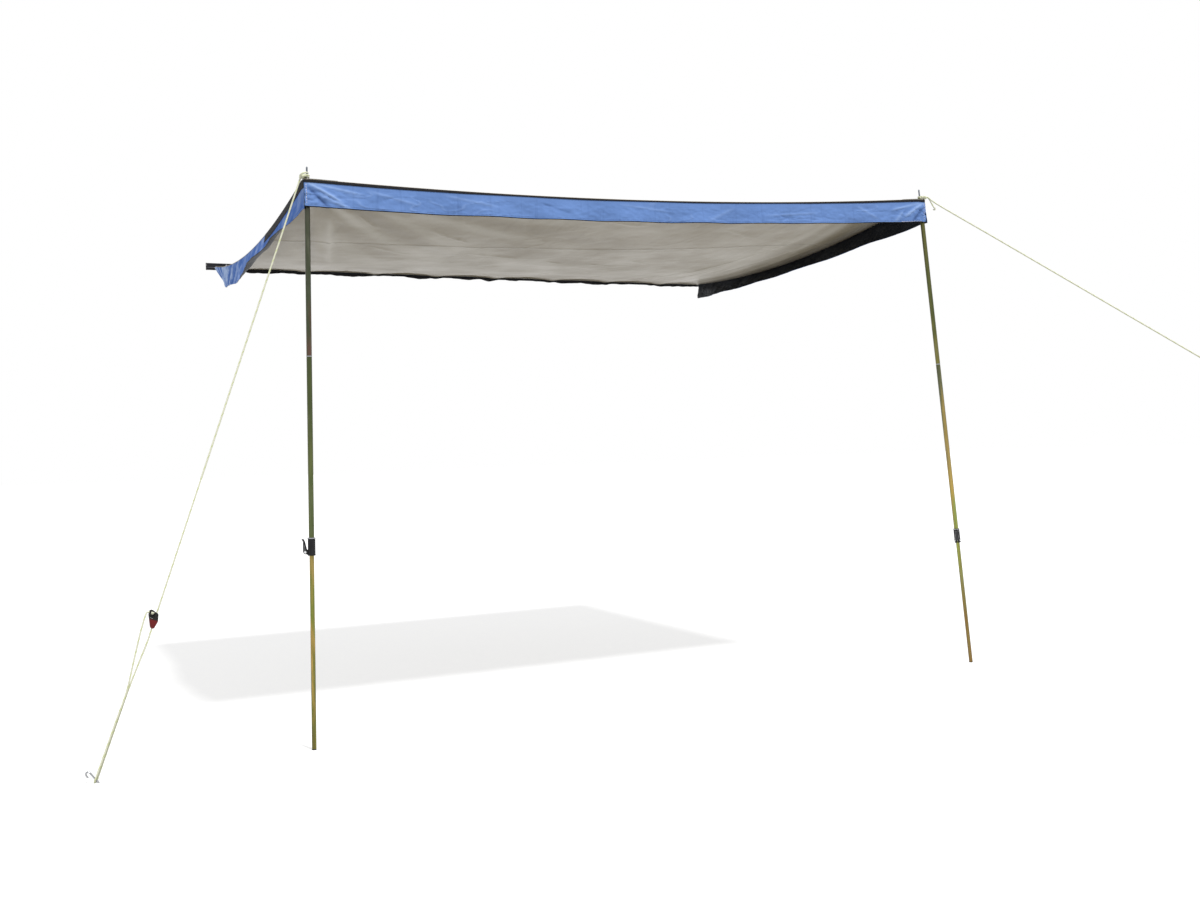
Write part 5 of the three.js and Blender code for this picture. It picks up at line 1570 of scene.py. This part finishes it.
def side_mark(at, drop):
    """Painted highlight where a fold stands up and painted shade where it sinks in, over an even painted
    lightening that is strongest at the rail.
    """
    return side_loose(at) * (0.65 + 1.8 * side_crumple(at, drop) + 0.8 * side_crease(at, drop))


def side_detail(at, drop):
    """Creases and folds, which start below the tape where there is one."""
    taped = at > 1 - 1.06 * SIDE_TAPE_LENGTH / ROOF_REACH
    below = eased((drop - 0.30) / 0.25) if taped else drop
    lines = crease_height(side_creases, at * ROOF_REACH, drop * SIDE_DEPTH, HANG_OVERRUN_SHARE, HANG_SHARP)
    soft = SIDE_SOFT * crumples(at * 15.0, drop * 1.6, 9.9, 0.7, sizes=2)
    limp = SIDE_WEB * side_crease(at, drop) + SIDE_CRUMPLE * side_crumple(at, drop)
    return below * (lines + soft + side_loose(at) * limp)


def side_cloth(across, sign, leans, curls, depths):
    return {
        "edge": lambda at: roof_point(across, at), "outward": Vector((sign, 0, 0)), "length": ROOF_REACH,
        "depth": lambda at: SIDE_DEPTH * along_table(depths, at),
        "lean": lambda at: along_table(leans, at), "curl": lambda at: along_table(curls, at),
        "pleat": lambda at: pleats(at, SIDE_PLEAT, SIDE_PLEAT_WAVES),
        "detail": side_detail, "mark": side_mark,
    }


front_end = 1 - SIDE_FRONT_GAP / ROOF_REACH
side_ats = even_shares(SIDE_TAIL / ROOF_REACH, front_end, SIDE_COLUMNS)
tape_ats = even_shares(1 - SIDE_TAPE_LENGTH / ROOF_REACH, front_end, SIDE_TAPE_COLUMNS)
for side, across, sign, leans, curls, depths, faces in (
    ("left", 0.0, -1, LEFT_LEANS, LEFT_CURLS, LEFT_DEPTH_SHARES, (black_inside, side_blue_painted_sheen)),
    ("right", 1.0, 1, RIGHT_LEANS, RIGHT_CURLS, RIGHT_DEPTH_SHARES, (side_blue_painted_sheen, black_inside)),
):
    cloth = side_cloth(across, sign, leans, curls, depths)
    valance = hanging_cloth(f"{side}_hanging_cloth", cloth, side_ats, VALANCE_OFFSET, VALANCE_HALF, *faces,
                            hem=HEM_FOLD)
    tape = hanging_cloth(f"{side}_webbing_tape", cloth, tape_ats, TAPE_OFFSET, TAPE_HALF, tape_finish,
                         tape_finish, lowest=SIDE_TAPE / SIDE_DEPTH)
    hem_line_down = hung_line(cloth, even_shares(0.012, 0.99, 200), 1 - HEM_ROW_SHARE * HEM_FOLD / SIDE_DEPTH,
                              SIDE_ROW_LIFT)
    hem_row = stitch_rows(f"{side}_hem_stitches", [hem_line_down], blue_thread)
    hand_over_valance(side, valance, tape, [hem_row])

# Pole tubes
# Two telescopic poles of 18 mm steel tube, yellow-chromated: gold, green and olive streaks run
# along them and differ from tube to tube. A steel sleeve joins the two upper tubes.
TUBE = 0.009
TUBE_WALL = 0.001
TUBE_SIDES = 56
TUBE_ROUND = 0.00035
FIT = 0.0003
# Joint and rim are heights below the pin; the shift moves a pole's streaks away from the other's
POLES = {
    "left": {"pivot": LEFT_PIN, "foot": Vector((-1.354, -1.895, GROUND_Z)), "turn": math.radians(153.6),
             "joint": -0.595, "rim": -1.203, "shift": 3.1},
    "right": {"pivot": RIGHT_PIN, "foot": Vector((1.484, -1.930, GROUND_Z)), "turn": math.radians(-132),
              "joint": -0.701, "rim": -1.413, "shift": 11.7},
}
INSERT = TUBE - TUBE_WALL - FIT
SLEEVE_REACH = 0.050
SLEEVE_WALL = 0.001
SLEEVE_ROUND = 0.0006
LIP_HALF = 0.0017
LIP_PROUD = 0.0005
COLLAR_DROP = 0.008
CLAMP_SEAT = 0.038
LOWER_OVERLAP = 0.180
FOOT_THICK = 0.003
FOOT_PLUG_REACH = 0.022
FOOT_ROUND = 0.0007
# The film's colours from thin to thick, for the upper, middle and lower tube of each pole
FILM_COLOURS = {
    "left": (
        [(0.0, (0.045, 0.048, 0.038)), (0.35, (0.085, 0.090, 0.065)), (0.6, (0.060, 0.080, 0.042)),
         (0.8, (0.130, 0.070, 0.055)), (1.0, (0.100, 0.110, 0.080))],
        [(0.0, (0.070, 0.082, 0.045)), (0.3, (0.085, 0.110, 0.040)), (0.55, (0.130, 0.152, 0.055)),
         (0.75, (0.088, 0.118, 0.042)), (1.0, (0.165, 0.135, 0.050))],
        [(0.0, (0.150, 0.150, 0.035)), (0.2, (0.460, 0.330, 0.090)), (0.38, (0.190, 0.230, 0.040)),
         (0.55, (0.440, 0.300, 0.080)), (0.75, (0.155, 0.160, 0.032)), (1.0, (0.150, 0.100, 0.032))],
    ),
    "right": (
        [(0.0, (0.085, 0.085, 0.032)), (0.35, (0.150, 0.150, 0.048)), (0.6, (0.085, 0.100, 0.034)),
         (0.8, (0.210, 0.190, 0.050)), (1.0, (0.140, 0.150, 0.075))],
        [(0.0, (0.110, 0.120, 0.075)), (0.28, (0.130, 0.145, 0.065)), (0.48, (0.380, 0.285, 0.095)),
         (0.68, (0.460, 0.320, 0.080)), (0.84, (0.290, 0.350, 0.085)), (1.0, (0.170, 0.210, 0.055))],
        [(0.0, (0.230, 0.310, 0.050)), (0.3, (0.330, 0.360, 0.080)), (0.52, (0.260, 0.235, 0.070)),
         (0.74, (0.250, 0.145, 0.045)), (1.0, (0.155, 0.105, 0.025))],
    ),
}


def zinc_group():
    """Chromate film drawn out along a tube: where it changes colour, is thin or rubbed, and streaks."""
    tree, start, end = new_group("chromate", {"Vector": (0.0, 0.0, 0.0), "Shift": 0.0},
                                 ("Film", "Thin", "Streak"))
    moved = new_node(tree, "ShaderNodeVectorMath", operation="ADD")
    join(tree, start["Vector"], moved.inputs[0])
    join(tree, start["Shift"], moved.inputs[1])
    for label, scale, detail, low, high in (
        ("Film", (62.0, 62.0, 6.5), 4.0, 0.30, 0.70), ("Thin", (24.0, 24.0, 7.0), 5.0, 0.52, 0.78),
        ("Streak", (330.0, 330.0, 5.0), 3.0, 0.3, 0.7),
    ):
        patches_of_it = noise_node(tree, drawn_out(tree, moved.outputs[0], scale), 1.0, detail, 0.6)
        join(tree, spread(tree, patches_of_it, low, high), end.inputs[label])
    return tree


chromate = zinc_group()


def ramp_node(tree, value, stops):
    """Colours at places along a value."""
    node = new_node(tree, "ShaderNodeValToRGB")
    elements = node.color_ramp.elements
    while len(elements) < len(stops):
        elements.new(0.5)
    for element, (place, colour) in zip(elements, stops):
        element.position = place
        element.color = (*colour, 1.0)
    return feed(tree, node, Fac=value).outputs["Color"]


def yellow_zinc(name, stops, top, bottom, shift, roughness):
    """Chromated steel whose film thickens down a tube from its top to its bottom, in uneven streaks, with
    painted shade along the edges that turn away from the eye.
    """
    finish, tree, shader = new_finish(name, stops[len(stops) // 2][1], roughness, 0.88)
    spot = new_node(tree, "ShaderNodeTexCoord").outputs["Object"]
    film = place_group(tree, chromate, Vector=spot, Shift=shift)
    height = feed(tree, new_node(tree, "ShaderNodeSeparateXYZ"), Vector=spot).outputs["Z"]
    lowered = math_node(tree, "SUBTRACT", 1.0, spread(tree, height, bottom, top))
    thickness = math_node(tree, "ADD", math_node(tree, "MULTIPLY", lowered, 0.62),
                          math_node(tree, "MULTIPLY", film["Film"], 0.38))
    # Painted shade: the tube darkens towards the edges that turn away from the eye.
    painted_edge_shade = spread(tree, new_node(tree, "ShaderNodeLayerWeight").outputs["Facing"], 0.35, 0.9)
    tone = overlaid(
        tree, ramp_node(tree, thickness, stops), (film["Streak"], 0.45, (0.035, 0.033, 0.02)),
        (film["Thin"], 0.22, (0.30, 0.29, 0.22)), (painted_edge_shade, 0.85, (0.03, 0.032, 0.02)))
    rough = spread(tree, film["Thin"], 0.0, 1.0, roughness, roughness + 0.18)
    feed(tree, shader, Base_Color=tone, Roughness=rough)
    add_bump(tree, shader, film["Streak"], 0.00003, 0.6)
    return finish


def set_in(piece, side, body, node_name):
    """Puts a piece drawn along the pole's own axis in its place, for a CAD node if one is named."""
    pole = POLES[side]
    up = (pole["pivot"] - pole["foot"]).normalized()
    ears = Vector((*around(1.0, pole["turn"]), 0.0))
    ears = (ears - up * ears.dot(up)).normalized()
    piece.matrix_world = placed(pole["pivot"], ears, up.cross(ears), up)
    hand_over(piece, f"{side}_{body}", f"{side}_{node_name}" if node_name else None)


def turned_in(side, name, profile, finish, body, node_name, sides=TUBE_SIDES):
    """Turns a piece about its pole's axis and sets it in."""
    set_in(turned(f"{side}_{name}", profile, finish, sides), side, body, node_name)


def tube_profile(outer, top, bottom):
    bore = outer - TUBE_WALL
    return soft_profile([(bore, bottom), (outer, bottom), (outer, top), (bore, top)], TUBE_ROUND)


for side, pole in POLES.items():
    length = (pole["pivot"] - pole["foot"]).length
    joint, rim = pole["joint"], pole["rim"]
    tubes = (
        ("top_pole", "upper", "pole", TUBE, -COLLAR_DROP - FIT, joint + LIP_HALF + FIT, (0.0, joint), 0, 0.3),
        ("mid_pole", "middle", "pole", TUBE, joint - LIP_HALF - FIT, rim - CLAMP_SEAT + FIT,
         (joint, rim), 5, 0.3),
        ("low_pole", "lower", "lower", INSERT, rim - CLAMP_SEAT + LOWER_OVERLAP, -length + FOOT_THICK + FIT,
         (rim, -length), 9, 0.26),
    )
    for stops, values in zip(FILM_COLOURS[side], tubes):
        name, tube, body, outer, top, bottom, film_ends, further, rough = values
        finish = yellow_zinc(f"{side}_{tube}_chromate", stops, *film_ends, pole["shift"] + further, rough)
        turned_in(side, name, tube_profile(outer, top, bottom), finish, body, f"{tube}_tube")
    bore, lip = INSERT - SLEEVE_WALL, TUBE + LIP_PROUD
    turned_in(side, "swaged_sleeve", soft_profile([
        (bore, joint - SLEEVE_REACH), (INSERT, joint - SLEEVE_REACH), (INSERT, joint - LIP_HALF),
        (lip, joint - LIP_HALF), (lip, joint + LIP_HALF), (INSERT, joint + LIP_HALF),
        (INSERT, joint + SLEEVE_REACH), (bore, joint + SLEEVE_REACH),
    ], SLEEVE_ROUND), bright_steel, "pole", "joint_sleeve")

# Spike pins and top plugs
# A bright steel pin driven through a moulded plug in each pole's top; the eyelet and the knot
# sit on it.
PIN_RADIUS = 0.003
PIN_REACH = 0.040
PIN_TOP = 0.045
PIN_POINT = 0.0019
PIN_POINT_DROP = 0.0005
PIN_TAPER = 0.002
PIN_ROUND = 0.0008
PIN_SIDES = 32
PLUG_BORE = 0.0033
PLUG_TOP = 0.0037
PLUG_DISH = 0.0006
PLUG_EDGE_DROP = 0.0049
PLUG_REACH = 0.034
PLUG_ROUND = 0.0004
pin_steel = metal("bare_pin_steel", (0.17, 0.19, 0.22), 0.3, (6.0, 6.0, 0.6), wear_and_highlight=(0.36, 0.38, 0.40))
for side in POLES:
    turned_in(side, "turned_pin", soft_profile([
        (0.0, -PIN_REACH), (PIN_RADIUS, -PIN_REACH), (PIN_RADIUS, PIN_TOP - PIN_TAPER),
        (PIN_POINT, PIN_TOP - PIN_POINT_DROP), (0.0, PIN_TOP),
    ], PIN_ROUND), pin_steel, "pole", "spike_pin", PIN_SIDES)
    turned_in(side, "moulded_plug", soft_profile([
        (PLUG_BORE, -PLUG_TOP), (PLUG_BORE + PLUG_DISH, -PLUG_TOP), (TUBE, -PLUG_EDGE_DROP),
        (TUBE, -COLLAR_DROP), (INSERT, -COLLAR_DROP), (INSERT, -PLUG_REACH), (PLUG_BORE, -PLUG_REACH),
    ], PLUG_ROUND), black_plastic, "pole", "top_plug")

# Foot plugs
# A foot moulded in black plastic, pressed into the end of each lower tube. It stands on the ground
# and is worn by it.
foot_neck = INSERT - TUBE_WALL - FIT
for side, pole in POLES.items():
    ground = -(pole["pivot"] - pole["foot"]).length
    turned_in(side, "worn_foot", soft_profile([
        (0.0, ground), (INSERT, ground), (INSERT, ground + FOOT_THICK), (foot_neck, ground + FOOT_THICK),
        (foot_neck, ground + FOOT_PLUG_REACH), (0.0, ground + FOOT_PLUG_REACH),
    ], FOOT_ROUND), black_plastic, "lower", "foot_plug")

# Clamps
# Each lower tube is held by a moulded clamp: a stepped sleeve with a bright rim, a slit and two
# ears that a bolt and a folded steel cam lever draw together.
CLAMP_LENGTH = 0.060
CLAMP_RADIUS = 0.0125
CLAMP_RIM = 0.0008
CLAMP_BAND = 0.0005
CLAMP_BAND_HEIGHTS = (0.005, 0.006)
CLAMP_ROUND = 0.0005
CLAMP_SIDES = 48
RIM_HEIGHT = 0.003
SLIT = 0.003
SLIT_REACH = 0.0265
SLIT_HEIGHT = 0.044
EAR_THICK = 0.006
EAR_HALF = 0.010
EAR_ROOT = 0.010
EAR_RADIUS = 0.0055
EAR_STEPS = 12
PIVOT_REACH = 0.019
PIVOT_RISE = 0.012
BOLT_BORE = 0.0028
CUT_PAST = 0.002
BORE_HALF = 0.02
COLLAR_OUT = 0.0005
COLLAR_GAP = 0.0001
COLLAR_TOP = 0.0002
COLLAR_SEAT = 0.00005
COLLAR_ROUND = 0.0001
CLAMP_METAL_EDGE = 0.0004
clamp_steel = metal("dark_lever_steel", (0.055, 0.056, 0.058), 0.36, (6.0, 6.0, 0.6), wear_and_highlight=(0.42, 0.42, 0.42))
chrome = metal("chromed_steel", (0.75, 0.76, 0.77), 0.14, (5.0, 5.0, 5.0), depth=0.00001)
rim_radius = CLAMP_RADIUS + CLAMP_RIM
band_low, band_high = CLAMP_BAND_HEIGHTS
for side, pole in POLES.items():
    rim = pole["rim"]
    low = rim - CLAMP_LENGTH
    pivot_z = low + PIVOT_RISE
    clamp = turned(f"{side}_moulded_clamp", [
        (TUBE + FIT, rim), (rim_radius, rim), (rim_radius, rim - RIM_HEIGHT),
        (CLAMP_RADIUS, rim - RIM_HEIGHT - CLAMP_RIM), (CLAMP_RADIUS, low + band_high),
        (CLAMP_RADIUS + CLAMP_BAND, low + band_low), (CLAMP_RADIUS + CLAMP_BAND, low + CLAMP_RIM),
        (CLAMP_RADIUS - CLAMP_RIM, low), (TUBE - TUBE_WALL, low), (TUBE - TUBE_WALL, rim - CLAMP_SEAT),
        (TUBE + FIT, rim - CLAMP_SEAT),
    ], black_plastic, CLAMP_SIDES)
    ear = [Vector((EAR_ROOT, pivot_z - EAR_HALF, 0))]
    for k in range(EAR_STEPS + 1):
        x, z = around(EAR_RADIUS, math.pi * (k / EAR_STEPS - 0.5))
        ear.append(Vector((PIVOT_REACH + x, pivot_z + z, 0)))
    ear.append(Vector((EAR_ROOT, pivot_z + EAR_HALF, 0)))
    combine(clamp, slab("ears", ear, SLIT + 2 * EAR_THICK), "UNION")
    slit_low, slit_high = low - CUT_PAST, low + SLIT_HEIGHT
    slit = [Vector(corner) for corner in (
        (0, slit_low, 0), (SLIT_REACH, slit_low, 0), (SLIT_REACH, slit_high, 0), (0, slit_high, 0))]
    combine(clamp, slab("slit", slit, SLIT))
    combine(clamp, bar_between("bolt_bore", Vector((PIVOT_REACH, -BORE_HALF, pivot_z)),
                               Vector((PIVOT_REACH, BORE_HALF, pivot_z)), BOLT_BORE))
    mould(clamp, black_plastic, CLAMP_ROUND, 2)
    set_in(clamp, side, "pole", "clamp_body")
    turned_in(side, "clamp_collar", soft_profile([
        (TUBE + 2 * FIT, rim + COLLAR_TOP), (rim_radius + COLLAR_OUT, rim + COLLAR_TOP),
        (rim_radius + COLLAR_OUT, rim - RIM_HEIGHT), (rim_radius + COLLAR_GAP, rim - RIM_HEIGHT),
        (rim_radius + COLLAR_GAP, rim + COLLAR_SEAT), (TUBE + 2 * FIT, rim + COLLAR_SEAT),
    ], COLLAR_ROUND), bright_steel, "pole", None)
    dress(f"{side}_clamp_bolt", chrome, CLAMP_METAL_EDGE)
    dress(f"{side}_clamp_nut", chrome, CLAMP_METAL_EDGE)
    dress(f"{side}_clamp_lever", clamp_steel, CLAMP_METAL_EDGE)
